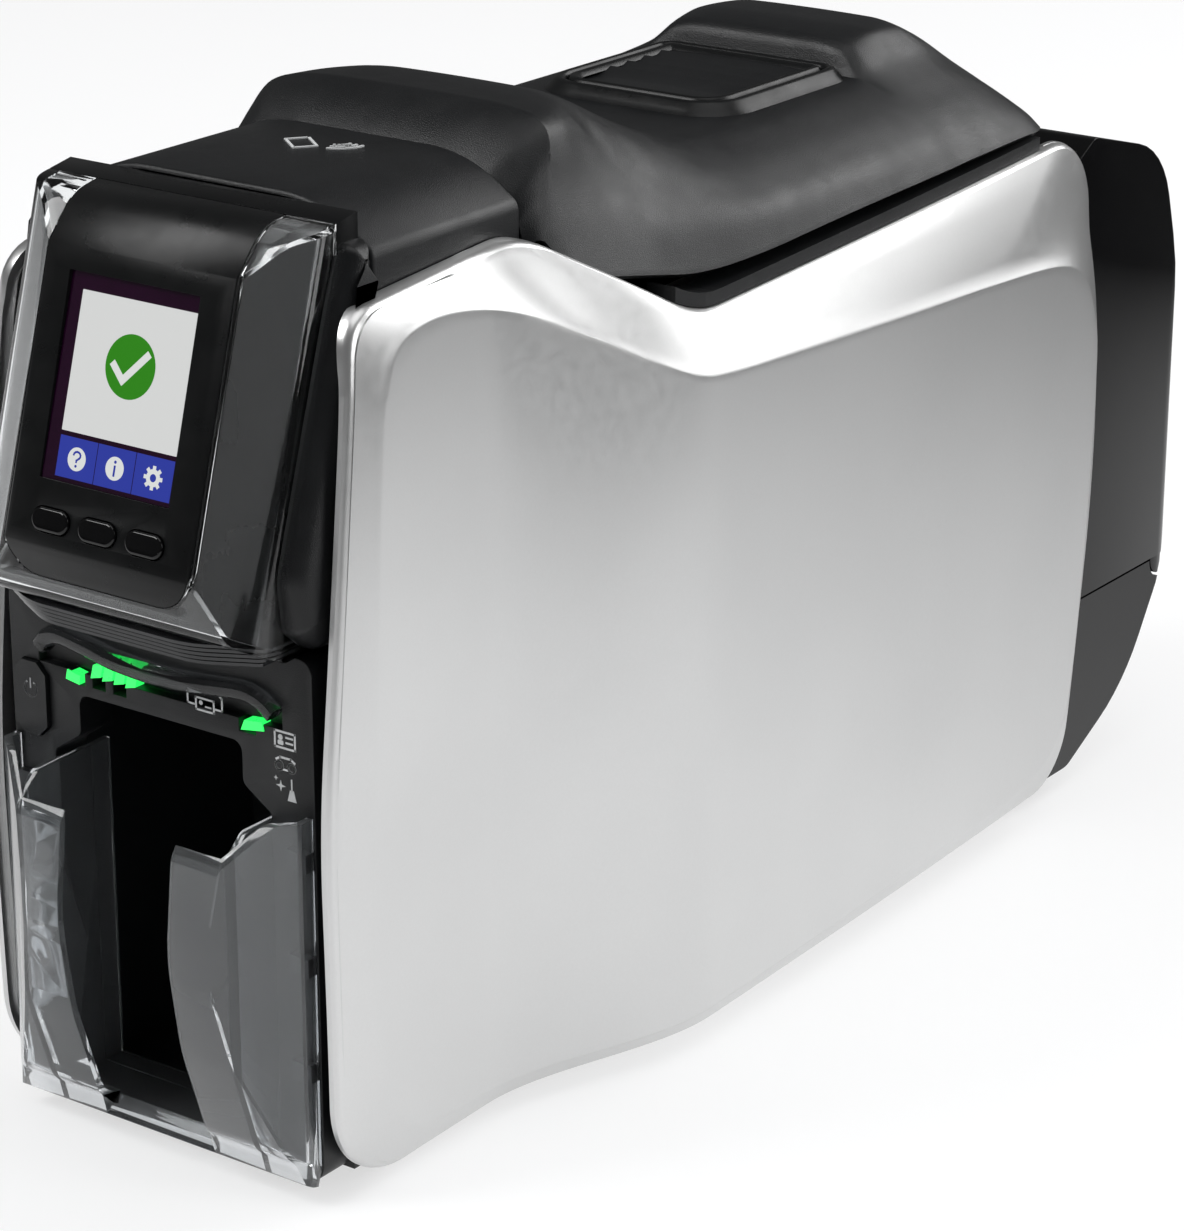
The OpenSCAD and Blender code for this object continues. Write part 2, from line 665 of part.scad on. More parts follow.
module latch_hooks() color(steel) both_sides() difference() {
    union() {
        rod(hook_x, hook_x + 3, latch_y, latch_z, 4.5);
        box([hook_x, latch_y - 3, keeper_z - 8], [hook_x + 3, latch_y + 3, latch_z]);
        box([hook_x, latch_y - 3, keeper_z - 8], [hook_x + 3, latch_y + 5.9, keeper_z - 3]);
    }
    rod(hook_x - 1, hook_x + 4, latch_y, latch_z, latch_r + shaft_gap);
}
module latch_springs() color(steel) both_sides() difference() {
    rod(hook_x + 3.3, beam_half - fit, latch_y, latch_z, 3.2);
    rod(hook_x + 3, beam_half, latch_y, latch_z, latch_r + shaft_gap);
}
module latch_keepers() color(steel) both_sides()
    rod(hook_x, wall_in, keeper_y, keeper_z, 2);

// ---- print head -----------------------------------------------------------

head_w = 62;
head_z = path_z + 2.6;
module printhead() color("#b9b39a") difference() {
    box([-head_w / 2, print_y - 6, head_z], [head_w / 2, print_y + 6, head_z + 26]);
    for (k = [0:9]) box([-head_w / 2 + 3 + k * 6, print_y - 7, head_z + 8],
        [-head_w / 2 + 6 + k * 6, print_y + 7, head_z + 22]);
}
module printhead_bracket() color(steel) difference() {
    box([-head_w / 2 - 3, print_y - 9, head_z + 10], [head_w / 2 + 3, print_y + 9, head_z + 30]);
    box([-head_w / 2 - 0.2, print_y - 10, head_z + 9], [head_w / 2 + 0.2, print_y + 10, head_z + 26 + 0.2]);
}
module printhead_springs() color(steel) both_sides() translate([20, print_y, head_z + 30])
    cylinder(h = spring_top - head_z - 30, r = 4);

// ---- rollers, pulleys and belts -------------------------------------------

belt_x = 48.5;              // first belt plane, outside the right wall
belt_w = 5;
belt_t = 1.2;
belt_gap = 0.3;
outer_belt_x = belt_x + belt_w + 2.5;
module pulley(y, z, x) rod(x + 0.4, x + belt_w - 0.4, y, z, pulley_r);
module roller(y, z, r, half) {
    rod(-wall_in - wall_t - 2, belt_x + belt_w, y, z, shaft_r);
    rod(-half, half, y, z, r);
}
module platen_roller() color("#3a3a3c") {
    roller(print_y, roller_z, roller_r, 29);
    pulley(print_y, roller_z, belt_x);
    rod(belt_x, outer_belt_x + belt_w, print_y, roller_z, shaft_r);
    pulley(print_y, roller_z, outer_belt_x);
}
module transport_roller() color("#3a3a3c") {
    roller(transport_y, roller_z, roller_r, 22);
    pulley(transport_y, roller_z, belt_x);
}
module feed_roller() color("#3a3a3c") {
    roller(feed_y, roller_z, roller_r, 22);
    pulley(feed_y, roller_z, belt_x);
    rod(belt_x, outer_belt_x + belt_w, feed_y, roller_z, shaft_r);
    pulley(feed_y, roller_z, outer_belt_x);
}
module exit_roller() color("#3a3a3c") {
    roller(exit_y, roller_z, roller_r, 22);
    pulley(exit_y, roller_z, belt_x);
}
module pick_roller() color("#3a3a3c") {
    rod(-wall_in - wall_t - 2, outer_belt_x + belt_w, pick_y, pick_z, shaft_r);
    rod(-12, 12, pick_y, pick_z, pick_r);
    pulley(pick_y, pick_z, outer_belt_x);
}
module cleaning_roller() color("#d98a2b") {
    rod(-wall_in - wall_t - 2, wall_in + wall_t + 2, cleaner_y, cleaner_z, shaft_r);
    rod(-28, 28, cleaner_y, cleaner_z, cleaner_r);
}
// A belt round two equal pulleys at a and b, each [y, z].
module stadium(span, r) {
    circle(r);
    translate([span, 0]) circle(r);
    translate([0, -r]) square([span, 2 * r]);
}
module belt(a, b, x) {
    d = b - a;
    translate([x, a[0], a[1]]) rotate([atan2(d[1], d[0]), 0, 0]) rotate([90, 0, 90])
        linear_extrude(belt_w) difference() {
            stadium(norm(d), pulley_r + belt_gap + belt_t);
            stadium(norm(d), pulley_r + belt_gap);
        }
}
module transport_belt() color("#202020") belt([exit_y, roller_z], [feed_y, roller_z], belt_x);
module motor_belt() color("#202020") belt([print_y, motor_z], [print_y, roller_z], outer_belt_x);
module pick_belt() color("#202020") belt([feed_y, roller_z], [pick_y, pick_z], outer_belt_x);

motor_r = 17;
motor_len = 30;
module transport_motor() color("#6d7277") difference() {
    union() {
        rod(wall_in - motor_len, wall_in, print_y, motor_z, motor_r);
        box([wall_in - motor_len + 4, print_y - 10, wall_foot_z],
            [wall_in - 4, print_y + 10, motor_z - motor_r + 2]);
    }
    rod(wall_in - 20, wall_in + 1, print_y, motor_z, shaft_r + shaft_gap);
}
module motor_pulley() color(steel) {
    rod(wall_in - 18, outer_belt_x + belt_w, print_y, motor_z, shaft_r);
    pulley(print_y, motor_z, outer_belt_x);
}
guide_front_y = -104;
guide_rear_y = 113;
guide_t = 1.5;
module card_guide() color("#2c2e31") difference() {
    union() {
        box([-wall_in, guide_front_y, path_z - guide_t - fit], [wall_in, guide_rear_y, path_z - fit]);
        both_sides() box([card_w / 2 + 0.5, guide_front_y, path_z - 1],
            [card_w / 2 + 2.5, guide_rear_y, path_z + card_t]);
    }
    for (y = [print_y, transport_y, feed_y, exit_y])
        box([-31, y - roller_r - 0.6, path_z - 9], [31, y + roller_r + 0.6, path_z + 9]);
    box([-31, cleaner_y - 6.5, path_z - 0.2], [31, cleaner_y + 6.5, path_z + 9]);
}

// ---- ribbon ---------------------------------------------------------------

ribbon_half = 29;
spool_z = 182;
supply_y = print_y + 50;
takeup_y = print_y - 50;
spool_shaft_r = 4;
plate_x = 35;
plate_t = 2.5;
film_t = 0.4;
flange_r = 17;
cassette_z = path_z + 12;   // foot of the cassette, and how far it reaches past the spools
cassette_reach = 20;
module spool(y, r) {
    rod(-ribbon_half, ribbon_half, y, spool_z, r);
    both_sides() rod(ribbon_half, ribbon_half + 2, y, spool_z, flange_r);
    rod(-plate_x - plate_t - 1.5, plate_x + plate_t + 1.5, y, spool_z, spool_shaft_r);
}
module ribbon_supply_spool() color("#2b2f6b") spool(supply_y, supply_r);
module ribbon_takeup_spool() color("#3d2a52") spool(takeup_y, takeup_r);
module ribbon_film() color("#4a3f8a") {
    low = path_z + card_t + 0.5;
    a = [supply_y - supply_r - 0.6, spool_z];
    b = [print_y + 10, low];
    c = [print_y - 10, low];
    e = [takeup_y + takeup_r + 0.6, spool_z];
    along_x(-ribbon_half + 1, ribbon_half - 1) polygon([a, b, c, e,
        [e[0] - film_t, e[1]], [c[0] - film_t, c[1] - film_t],
        [b[0] + film_t, b[1] - film_t], [a[0] + film_t, a[1]]]);
}
module ribbon_cassette() color("#35383c") difference() {
    union() {
        both_sides() box([plate_x, takeup_y - cassette_reach, cassette_z],
            [plate_x + plate_t, supply_y + cassette_reach, spool_z + 8]);
        for (y = [takeup_y - cassette_reach, supply_y + cassette_reach - 3])
            box([-plate_x - eps, y, cassette_z], [plate_x + eps, y + 3, cassette_z + 8]);
        both_sides() for (y = [takeup_y - 14, supply_y + 8])
            box([plate_x + plate_t - eps, y, cassette_z + 2], [wall_in, y + 6, cassette_z + 6]);
    }
    for (y = [takeup_y, supply_y])
        rod(-plate_x - plate_t - 1, plate_x + plate_t + 1, y, spool_z, spool_shaft_r + shaft_gap);
    both_sides() box([plate_x - 1, print_y - 16, path_z + 22],
        [plate_x + plate_t + 1, print_y + 16, spool_z + 9]);
}

// ---- electronics ----------------------------------------------------------

board_x = -wall_in - wall_t - 6;
board_y = [-50, 80];
board_z = [30, 120];
module circuit_board() color("#1f5a34") {
    box([board_x - 1.6, board_y[0], board_z[0]], [board_x, board_y[1], board_z[1]]);
    for (y = [board_y[0] + 6, board_y[1] - 6], z = [board_z[0] + 4, board_z[1] - 4])
        rod(board_x - eps, -wall_in - wall_t, y, z, 3);
    for (k = [0:3]) box([board_x - 5.5, board_y[0] + 12 + k * 28, board_z[0] + 14],
        [board_x - 1.6 + eps, board_y[0] + 30 + k * 28, board_z[0] + 32 + 6 * (k % 2)]);
    for (k = [0:2]) rod(board_x - 13, board_x - 1.6 + eps, board_y[0] + 24 + k * 40, board_z[1] - 22, 5);
}

// ---- card magazine --------------------------------------------------------

mag_half = card_w / 2 + 0.6;
mag_t = 2;
mag_front_y = wall_rear_y + fit;
mag_rear_y = mag_front_y + mag_t + stack_depth + pusher_travel + 12;
mag_top = magazine_z + card_h + 3;
module card_magazine() color("#232528") difference() {
    union() {
        box([-mag_half - mag_t, mag_front_y, magazine_z - mag_t], [mag_half + mag_t, mag_rear_y, mag_top]);
        box([-wall_in - wall_t, mag_front_y, magazine_z - mag_t],
            [wall_in + wall_t, mag_front_y + mag_t, mag_top + 30]);
    }
    box([-mag_half, mag_front_y + mag_t, magazine_z], [mag_half, mag_rear_y + 1, sky]);
    box([-14, mag_front_y - 1, pick_z - 10], [14, mag_front_y + mag_t + 1, pick_z + 10]);
    box([-mag_half, mag_front_y - 1, path_z - 4], [mag_half, mag_front_y + mag_t + 1, path_z + 6]);
}
module card_stack() color("#f2f2f0") box([-card_w / 2, mag_front_y + mag_t + 0.2, magazine_z],
    [card_w / 2, mag_front_y + mag_t + stack_depth, magazine_z + card_h]);
pusher_y = mag_front_y + mag_t + stack_depth + fit;
pusher_half = mag_half + mag_t + 3;
module card_pusher() color("#3b3e42") {
    box([-card_w / 2 + 1, pusher_y, magazine_z + fit], [card_w / 2 - 1, pusher_y + 3, mag_top + 4]);
    box([-18, pusher_y + 3 - eps, magazine_z + 12], [18, pusher_y + 10, magazine_z + 40]);
    box([-pusher_half, pusher_y, mag_top + fit], [pusher_half, pusher_y + 8, mag_top + 4]);
    both_sides() box([mag_half + mag_t + fit, pusher_y, mag_top - 8],
        [pusher_half, pusher_y + 8, mag_top + 4]);
}

// ---- rear cover and door --------------------------------------------------

split_z = 62;               // the door starts above this height
door_axis = [rear_y - 10, split_z];
door_knuckle_r = 6;
door_y0 = door_front_y + 23;    // front edge of the door
bulkhead_y = hinge_y + 9.5;
rear_profile = [
    [rear_y - 66, 7, 10],
    [rear_y - 31, 24, 60],
    [rear_y - 6, 62, 50],
    [rear_y, 105, 60],
    [rear_y - 3, 140, 60],
    [rear_y - 21, 198, 30]];
function rear_side(y0) = concat([[y0, 7, 0]], rear_profile,
    [[y0 + 11, deck_z + 0.5, 4], [y0, deck_z - 5.5, 0]]);
module rear_form(d, y0) intersection() {
    along_x(-door_half + d, door_half - d) polygon(rounded(inset(rear_side(y0), d)));
    translate([0, 0, -5]) linear_extrude(sky) polygon(rounded(inset([
        [-door_half, y0, 0], [door_half, y0, 0], [door_half, rear_y, 12], [-door_half, rear_y, 12]], d)));
}
niche_y = rear_y - 57;
niche_z = [16, 40];
inlet_x = 17 - door_half;
usb_x = inlet_x + 16;
lan_x = usb_x + 18;
niche_x = [inlet_x - 8, lan_x + 10];
socket_z = 28;
ear = [50, 54];             // the ears that carry the hinge pins of the door, in X
ear_r = 3.6;
door_pin_r = 2;
module door_rod(x0, x1, r) rod(x0, x1, door_axis[0], door_axis[1], r);
module rear_cover() color(gloss) difference() {
    union() {
        difference() {
            intersection() {
                rear_form(0, door_front_y);
                box([-body_half, door_front_y, 0], [body_half, rear_y + 1, split_z - fit]);
            }
            rear_form(door_t, door_front_y - 20);
        }
        intersection() {
            rear_form(0, door_front_y);
            box([niche_x[0] - 2, niche_y - 2, niche_z[0] - 2], [niche_x[1] + 2, rear_y, niche_z[1] + 2]);
        }
        difference() {
            box([1 - door_half, bulkhead_y, 8], [door_half - 1, bulkhead_y + 2, deck_z - 10]);
            box([-pusher_half - 1, bulkhead_y - 1, niche_z[1]],
                [pusher_half + 1, bulkhead_y + 3, mag_top + 10]);
        }
        both_sides() door_rod(ear[0], ear[1], ear_r);
        both_sides() intersection() {
            box([ear[0], door_axis[0] - 12, split_z - 16], [ear[1], door_axis[0] + ear_r, split_z]);
            rear_form(1, door_front_y);
        }
    }
    box([niche_x[0], niche_y, niche_z[0]], [niche_x[1], rear_y + 1, niche_z[1]]);
    box([inlet_x - 6.2, niche_y - 3, socket_z - 6.2], [inlet_x + 6.2, niche_y + 1, socket_z + 6.2]);
    box([usb_x - 6.2, niche_y - 3, socket_z - 6.2], [usb_x + 6.2, niche_y + 1, socket_z + 6.2]);
    box([lan_x - 8.2, niche_y - 3, socket_z - 7.2], [lan_x + 8.2, niche_y + 1, socket_z + 7.2]);
    door_rod(-ear[0] + 0.4, ear[0] - 0.4, door_knuckle_r + 1);
    both_sides() door_rod(ear[1] + 0.4, door_half + 1, door_knuckle_r + 1);
    both_sides() door_rod(ear[0] - 1, ear[1] + 1, door_pin_r + shaft_gap);
    for (k = [0:6]) box([16 + k * 6, rear_y - 50, 20], [19 + k * 6, rear_y, 46]);
    box([-door_half - 1, door_front_y + 38, 30], [-door_half + 4, door_front_y + 45, 33]);
}
module rear_door() color(gloss) difference() {
    union() {
        difference() {
            intersection() {
                rear_form(0, door_y0);
                box([-body_half, door_front_y, split_z + fit], [body_half, rear_y + 1, sky]);
            }
            rear_form(door_t, door_y0);
            box([door_t - door_half, door_y0 - 1, 0],
                [door_half - door_t, door_y0 + door_t + 1, deck_z - 6 - door_t * 1.5]);
        }
        intersection() {
            union() {
                door_rod(-ear[0] + 1, ear[0] - 1, door_knuckle_r);
                both_sides() door_rod(ear[1] + 1, door_half, door_knuckle_r);
                box([-door_half, door_axis[0], split_z + fit], [door_half, rear_y, split_z + 8]);
            }
            rear_form(0.2, door_front_y);
        }
    }
    both_sides() door_rod(ear[0] - 0.4, ear[1] + 0.4, door_knuckle_r + 0.2);
    both_sides() door_rod(ear[0] - 9, ear[0] + 1, door_pin_r + shaft_gap);
}
module door_hinge_pins() color(steel) both_sides()
    door_rod(ear[0] - 8, ear[1], door_pin_r);

module power_inlet() color("#18181a") difference() {
    box([inlet_x - 6, niche_y - 14, socket_z - 6], [inlet_x + 6, niche_y, socket_z + 6]);
    box([inlet_x - 4, niche_y - 10, socket_z - 4], [inlet_x + 4, niche_y + 1, socket_z + 4]);
}
module data_sockets() color("#b8bcc0") {
    difference() {
        box([usb_x - 6, niche_y - 14, socket_z - 6], [usb_x + 6, niche_y, socket_z + 6]);
        box([usb_x - 4.2, niche_y - 10, socket_z - 3.9], [usb_x + 4.2, niche_y + 1, socket_z + 3.9]);
    }
    difference() {
        box([lan_x - 8, niche_y - 16, socket_z - 7], [lan_x + 8, niche_y, socket_z + 7]);
        box([lan_x - 5.9, niche_y - 12, socket_z - 4], [lan_x + 5.9, niche_y + 1, socket_z + 4]);
    }
}

base_tray();
left_frame_wall();
right_frame_wall();
left_side_panel();
right_side_panel();
front_fascia();
output_bay();
front_housing();
display_housing();
display_face();
display_bezel();
screen_glass();
left_menu_button();
middle_menu_button();
right_menu_button();
front_top_cover();
light_bar();
status_lenses();
power_button();
output_hopper();
hopper_clips();
lid_gasket();
lid_shell();
lid_frame();
lid_hinge_pins();
latch_paddle();
latch_axle();
latch_hooks();
latch_springs();
latch_keepers();
printhead();
printhead_bracket();
printhead_springs();
platen_roller();
transport_roller();
feed_roller();
exit_roller();
cleaning_roller();
pick_roller();
card_guide();
transport_belt();
motor_belt();
pick_belt();
transport_motor();
motor_pulley();
ribbon_supply_spool();
ribbon_takeup_spool();
ribbon_film();
ribbon_cassette();
circuit_board();
card_magazine();
card_stack();
card_pusher();
rear_cover();
rear_door();
door_hinge_pins();
power_inlet();
data_sockets();
feet();
screws();
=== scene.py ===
import json
import math
import bmesh
import bpy
import numpy as np
from mathutils.bvhtree import BVHTree
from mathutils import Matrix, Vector

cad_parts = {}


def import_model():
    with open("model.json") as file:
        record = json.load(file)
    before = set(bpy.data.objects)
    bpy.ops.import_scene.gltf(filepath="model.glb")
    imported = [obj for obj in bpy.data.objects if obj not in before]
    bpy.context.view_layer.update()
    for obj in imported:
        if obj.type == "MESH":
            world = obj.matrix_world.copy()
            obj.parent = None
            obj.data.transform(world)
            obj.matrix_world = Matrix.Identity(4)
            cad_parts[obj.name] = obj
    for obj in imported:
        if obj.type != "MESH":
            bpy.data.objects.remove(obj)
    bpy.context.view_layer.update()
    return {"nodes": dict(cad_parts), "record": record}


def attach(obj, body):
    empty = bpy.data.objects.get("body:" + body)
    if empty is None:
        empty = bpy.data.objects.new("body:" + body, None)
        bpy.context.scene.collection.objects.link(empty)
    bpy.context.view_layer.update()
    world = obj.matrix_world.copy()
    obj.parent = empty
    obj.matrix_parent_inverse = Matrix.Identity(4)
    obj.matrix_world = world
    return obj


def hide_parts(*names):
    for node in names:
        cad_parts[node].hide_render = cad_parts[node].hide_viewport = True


# The looks of a desktop card printer, on the bodies of its CAD frame. +Z is up and the front
# faces -Y. Pieces are worked out in millimetres, and MM turns those into Blender's metres.

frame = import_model()
NODES = frame["nodes"]
MM = 0.001

# ---- camera, light and floor ------------------------------------------------------

ROOM_LIGHT, ROOM_IN_MIRRORS = 0.32, 0.1
TABLE_GLOW, TABLE_GLOW_SHARE, TABLE_DARK = 1.06, 0.6, 0.04
# Where the table ends for mirrors: the axis, the last white place and the first dark one.
TABLE_EDGE = (("X", 0.52, 0.60), ("Y", 0.10, 0.80), ("Y", -0.95, -1.05))


def camera():
    data = bpy.data.cameras.new("camera")
    cam = bpy.data.objects.new("camera", data)
    bpy.context.scene.collection.objects.link(cam)
    data.sensor_fit = "AUTO"
    data.sensor_width = 36.0
    data.lens = 117.5
    cam.location = (0.634, -0.887, 0.492)
    cam.rotation_euler = (math.radians(90 - 20.31), 0, math.radians(35.92))
    data.clip_start, data.clip_end = 0.05, 50
    bpy.context.scene.camera = cam


def area(name, place, target, size, power):
    data = bpy.data.lights.new(name, "AREA")
    data.shape = "RECTANGLE"
    data.size, data.size_y = size
    data.energy = power
    lamp = bpy.data.objects.new(name, data)
    lamp.location = place
    lamp.rotation_euler = (Vector(target) - Vector(place)).to_track_quat("-Z", "Y").to_euler()
    lamp.visible_camera = False
    bpy.context.scene.collection.objects.link(lamp)


def visible_rays(tree):
    """1 for rays from the camera and for those that a mirror or a clear wall sends on."""
    path = tree.nodes.new("ShaderNodeLightPath")
    a = math_node(tree, "MAXIMUM", path.outputs["Is Camera Ray"], path.outputs["Is Glossy Ray"])
    return math_node(tree, "MAXIMUM", a, path.outputs["Is Transmission Ray"])


def math_node(tree, op, a, b=None, c=None):
    node = tree.nodes.new("ShaderNodeMath")
    node.operation = op
    for socket, value in zip(node.inputs, (a, b, c)):
        if value is None:
            continue
        if isinstance(value, (int, float)):
            socket.default_value = value
        else:
            tree.links.new(value, socket)
    return node.outputs[0]


def world():
    """White behind the object, a dim studio for the light that falls on it."""
    w = bpy.data.worlds.new("studio")
    bpy.context.scene.world = w
    w.use_nodes = True
    tree = w.node_tree
    path = tree.nodes.new("ShaderNodeLightPath")
    dim = tree.nodes["Background"]
    dim.inputs[0].default_value = (0.95, 0.97, 1.0, 1)
    dim.inputs[1].default_value = ROOM_LIGHT
    mirror = background(tree, ROOM_IN_MIRRORS)
    white = background(tree, 1.0)
    first = mix_shaders(tree, path.outputs["Is Glossy Ray"], dim.outputs[0], mirror)
    seen = math_node(tree, "MAXIMUM", path.outputs["Is Camera Ray"], path.outputs["Is Transmission Ray"])
    tree.links.new(mix_shaders(tree, seen, first, white), tree.nodes["World Output"].inputs[0])


def background(tree, strength):
    node = tree.nodes.new("ShaderNodeBackground")
    node.inputs[0].default_value = (1, 1, 1, 1)
    node.inputs[1].default_value = strength
    return node.outputs[0]


def mix_shaders(tree, share, first, second):
    node = tree.nodes.new("ShaderNodeMixShader")
    tree.links.new(share, node.inputs[0])
    tree.links.new(first, node.inputs[1])
    tree.links.new(second, node.inputs[2])
    return node.outputs[0]


def glow(tree, strength):
    node = tree.nodes.new("ShaderNodeEmission")
    node.inputs[0].default_value = (1, 1, 1, 1)
    node.inputs[1].default_value = strength
    return node.outputs[0]


def floor():
    """A white table. Mirrors see it end beside and behind the object, as a studio table does."""
    bm = bmesh.new()
    bmesh.ops.create_grid(bm, x_segments=8, y_segments=8, size=6)
    obj = to_object(bm, "floor")
    m = bpy.data.materials.new("floor")
    m.use_nodes = True
    tree = m.node_tree
    base = tree.nodes["Principled BSDF"]
    base.inputs["Base Color"].default_value = (0.88, 0.88, 0.885, 1)
    base.inputs["Roughness"].default_value = 0.6
    path = tree.nodes.new("ShaderNodeLightPath")
    coord = tree.nodes.new("ShaderNodeTexCoord")
    parts = tree.nodes.new("ShaderNodeSeparateXYZ")
    tree.links.new(coord.outputs["Object"], parts.inputs[0])
    ends = []
    for axis, near, far in TABLE_EDGE:
        ramp = tree.nodes.new("ShaderNodeMapRange")
        ramp.inputs["From Min"].default_value = near
        ramp.inputs["From Max"].default_value = far
        tree.links.new(parts.outputs[axis], ramp.inputs["Value"])
        ends.append(ramp.outputs[0])
    beyond = math_node(tree, "MAXIMUM", math_node(tree, "MAXIMUM", ends[0], ends[1]), ends[2])
    seen = math_node(tree, "MULTIPLY", visible_rays(tree), TABLE_GLOW_SHARE)
    lit = mix_shaders(tree, seen, base.outputs[0], glow(tree, TABLE_GLOW))
    off = math_node(tree, "MULTIPLY", path.outputs["Is Glossy Ray"], beyond)
    out = mix_shaders(tree, off, lit, glow(tree, TABLE_DARK))
    tree.links.new(out, tree.nodes["Material Output"].inputs[0])
    obj.data.materials.append(m)


# ---- materials --------------------------------------------------------------------


class Mat:
    """A Principled material with its own texture nodes, in the part's own millimetres."""

    def __init__(self, name, colour, rough, metal=0.0, **more):
        self.m = bpy.data.materials.new(name)
        self.m.use_nodes = True
        self.t = self.m.node_tree
        self.b = self.t.nodes["Principled BSDF"]
        self.set("Base Color", (*colour, 1))
        self.set("Roughness", rough)
        self.set("Metallic", metal)
        for key, value in more.items():
            self.set(key.replace("_", " "), value)
        coord = self.t.nodes.new("ShaderNodeTexCoord")
        scale = self.t.nodes.new("ShaderNodeVectorMath")
        scale.operation = "SCALE"
        scale.inputs["Scale"].default_value = 1000.0
        self.t.links.new(coord.outputs["Object"], scale.inputs[0])
        self.co = scale.outputs[0]

    def set(self, key, value):
        self.b.inputs[key].default_value = value

    def link(self, out, key):
        self.t.links.new(out, self.b.inputs[key])

    def noise(self, size, detail=3.0, rough=0.5, stretch=None):
        """Noise whose features are about size mm across."""
        node = self.t.nodes.new("ShaderNodeTexNoise")
        node.inputs["Scale"].default_value = 1.0 / size
        node.inputs["Detail"].default_value = detail
        node.inputs["Roughness"].default_value = rough
        co = self.co
        if stretch:
            mul = self.t.nodes.new("ShaderNodeVectorMath")
            mul.operation = "MULTIPLY"
            mul.inputs[1].default_value = stretch
            self.t.links.new(co, mul.inputs[0])
            co = mul.outputs[0]
        self.t.links.new(co, node.inputs["Vector"])
        return node.outputs[0]

    def cells(self, size):
        """Distance to the edge of cells of about size mm."""
        node = self.t.nodes.new("ShaderNodeTexVoronoi")
        node.feature = "DISTANCE_TO_EDGE"
        node.inputs["Scale"].default_value = 1.0 / size
        self.t.links.new(self.co, node.inputs["Vector"])
        return node.outputs[0]

    def ramp(self, fac, stops):
        """Colour ramp through (place, grey or colour) pairs."""
        node = self.t.nodes.new("ShaderNodeValToRGB")
        e = node.color_ramp.elements
        while len(e) < len(stops):
            e.new(0.5)
        for item, (pos, value) in zip(e, stops):
            item.position = pos
            item.color = (*value, 1) if isinstance(value, tuple) else (value, value, value, 1)
        self.t.links.new(fac, node.inputs[0])
        return node.outputs[0]

    def math(self, op, a, b=None, c=None):
        return math_node(self.t, op, a, b, c)

    def bump(self, height, distance):
        """A bump of about distance mm."""
        node = self.t.nodes.new("ShaderNodeBump")
        node.inputs["Strength"].default_value = 1.0
        node.inputs["Distance"].default_value = distance * MM
        self.t.links.new(height, node.inputs["Height"])
        self.link(node.outputs[0], "Normal")


def grained(name, colour, rough, grain=0.55, depth=0.035, **more):
    """Moulded plastic with a fine leather-like grain."""
    m = Mat(name, colour, rough, **more)
    cells = m.cells(grain)
    fine = m.noise(grain * 0.5, 2)
    pits = m.math("MULTIPLY_ADD", m.ramp(cells, [(0.0, 0.0), (0.28, 1.0)]), 0.7, fine)
    m.bump(pits, depth)
    wide = m.noise(38, 3)
    dark = tuple(c * 0.82 for c in colour)
    light = tuple(min(1, c * 1.22) for c in colour)
    m.link(m.ramp(wide, [(0.3, dark), (0.7, light)]), "Base Color")
    m.link(m.ramp(m.noise(9, 4), [(0.3, rough - 0.05), (0.7, rough + 0.06)]), "Roughness")
    return m.m


def polished(name, colour, rough, **more):
    """Smooth plastic with the faint unevenness of a moulded, handled surface."""
    m = Mat(name, colour, rough, **more)
    smear = m.noise(22, 5, 0.6, (1, 1, 0.4))
    m.link(m.ramp(smear, [(0.35, rough * 0.6), (0.75, rough * 1.7 + 0.01)]), "Roughness")
    m.bump(m.noise(16, 2), 0.02)
    dark = tuple(c * 0.75 for c in colour)
    m.link(m.ramp(m.noise(30, 2), [(0.3, dark), (0.7, colour)]), "Base Color")
    return m.m


def satin_silver():
    """Silver paint: a fine flake over slow clouds."""
    m = Mat("satin_silver", (0.61, 0.612, 0.612), 0.3, 0.88)
    tone = m.math("MULTIPLY_ADD", m.noise(0.7, 1), 0.25, m.math("MULTIPLY", m.noise(70, 2), 0.75))
    m.link(m.ramp(tone, [(0.25, (0.59, 0.592, 0.591)), (0.75, (0.64, 0.642, 0.64))]), "Base Color")
    m.link(m.ramp(m.noise(3, 3), [(0.3, 0.285), (0.7, 0.32)]), "Roughness")
    m.bump(m.noise(18, 2), 0.006)
    return m.m


def clear_plastic(name, tint=(0.93, 0.95, 0.96), rough=0.04):
    m = Mat(name, tint, rough, IOR=1.45)
    m.set("Transmission Weight", 1.0)
    m.link(m.ramp(m.noise(14, 4), [(0.35, rough * 0.5), (0.75, rough * 2)]), "Roughness")
    m.bump(m.noise(24, 1), 0.03)
    return m.m


def hazy_plastic(name):
    """Clear plastic that scatters a little, as a moulded wall seen edge on does."""
    m = Mat(name, (0.80, 0.82, 0.84), 0.04, IOR=1.5)
    m.set("Transmission Weight", 0.95)
    m.link(m.ramp(m.noise(14, 4), [(0.35, 0.02), (0.75, 0.07)]), "Roughness")
    m.link(m.ramp(m.noise(40, 2), [(0.3, (0.74, 0.77, 0.79)), (0.7, (0.84, 0.86, 0.88))]), "Base Color")
    m.bump(m.noise(24, 1), 0.03)
    return m.m


def metal(name, colour, rough):
    """Bare metal, brushed across."""
    m = Mat(name, colour, rough, 1.0)
    streak = m.noise(0.5, 3, 0.6, (0.1, 1, 1))
    m.link(m.ramp(streak, [(0.3, rough - 0.08), (0.7, rough + 0.1)]), "Roughness")
    dark = tuple(c * 0.85 for c in colour)
    m.link(m.ramp(m.noise(18, 3), [(0.3, dark), (0.7, colour)]), "Base Color")
    m.bump(streak, 0.01)
    return m.m


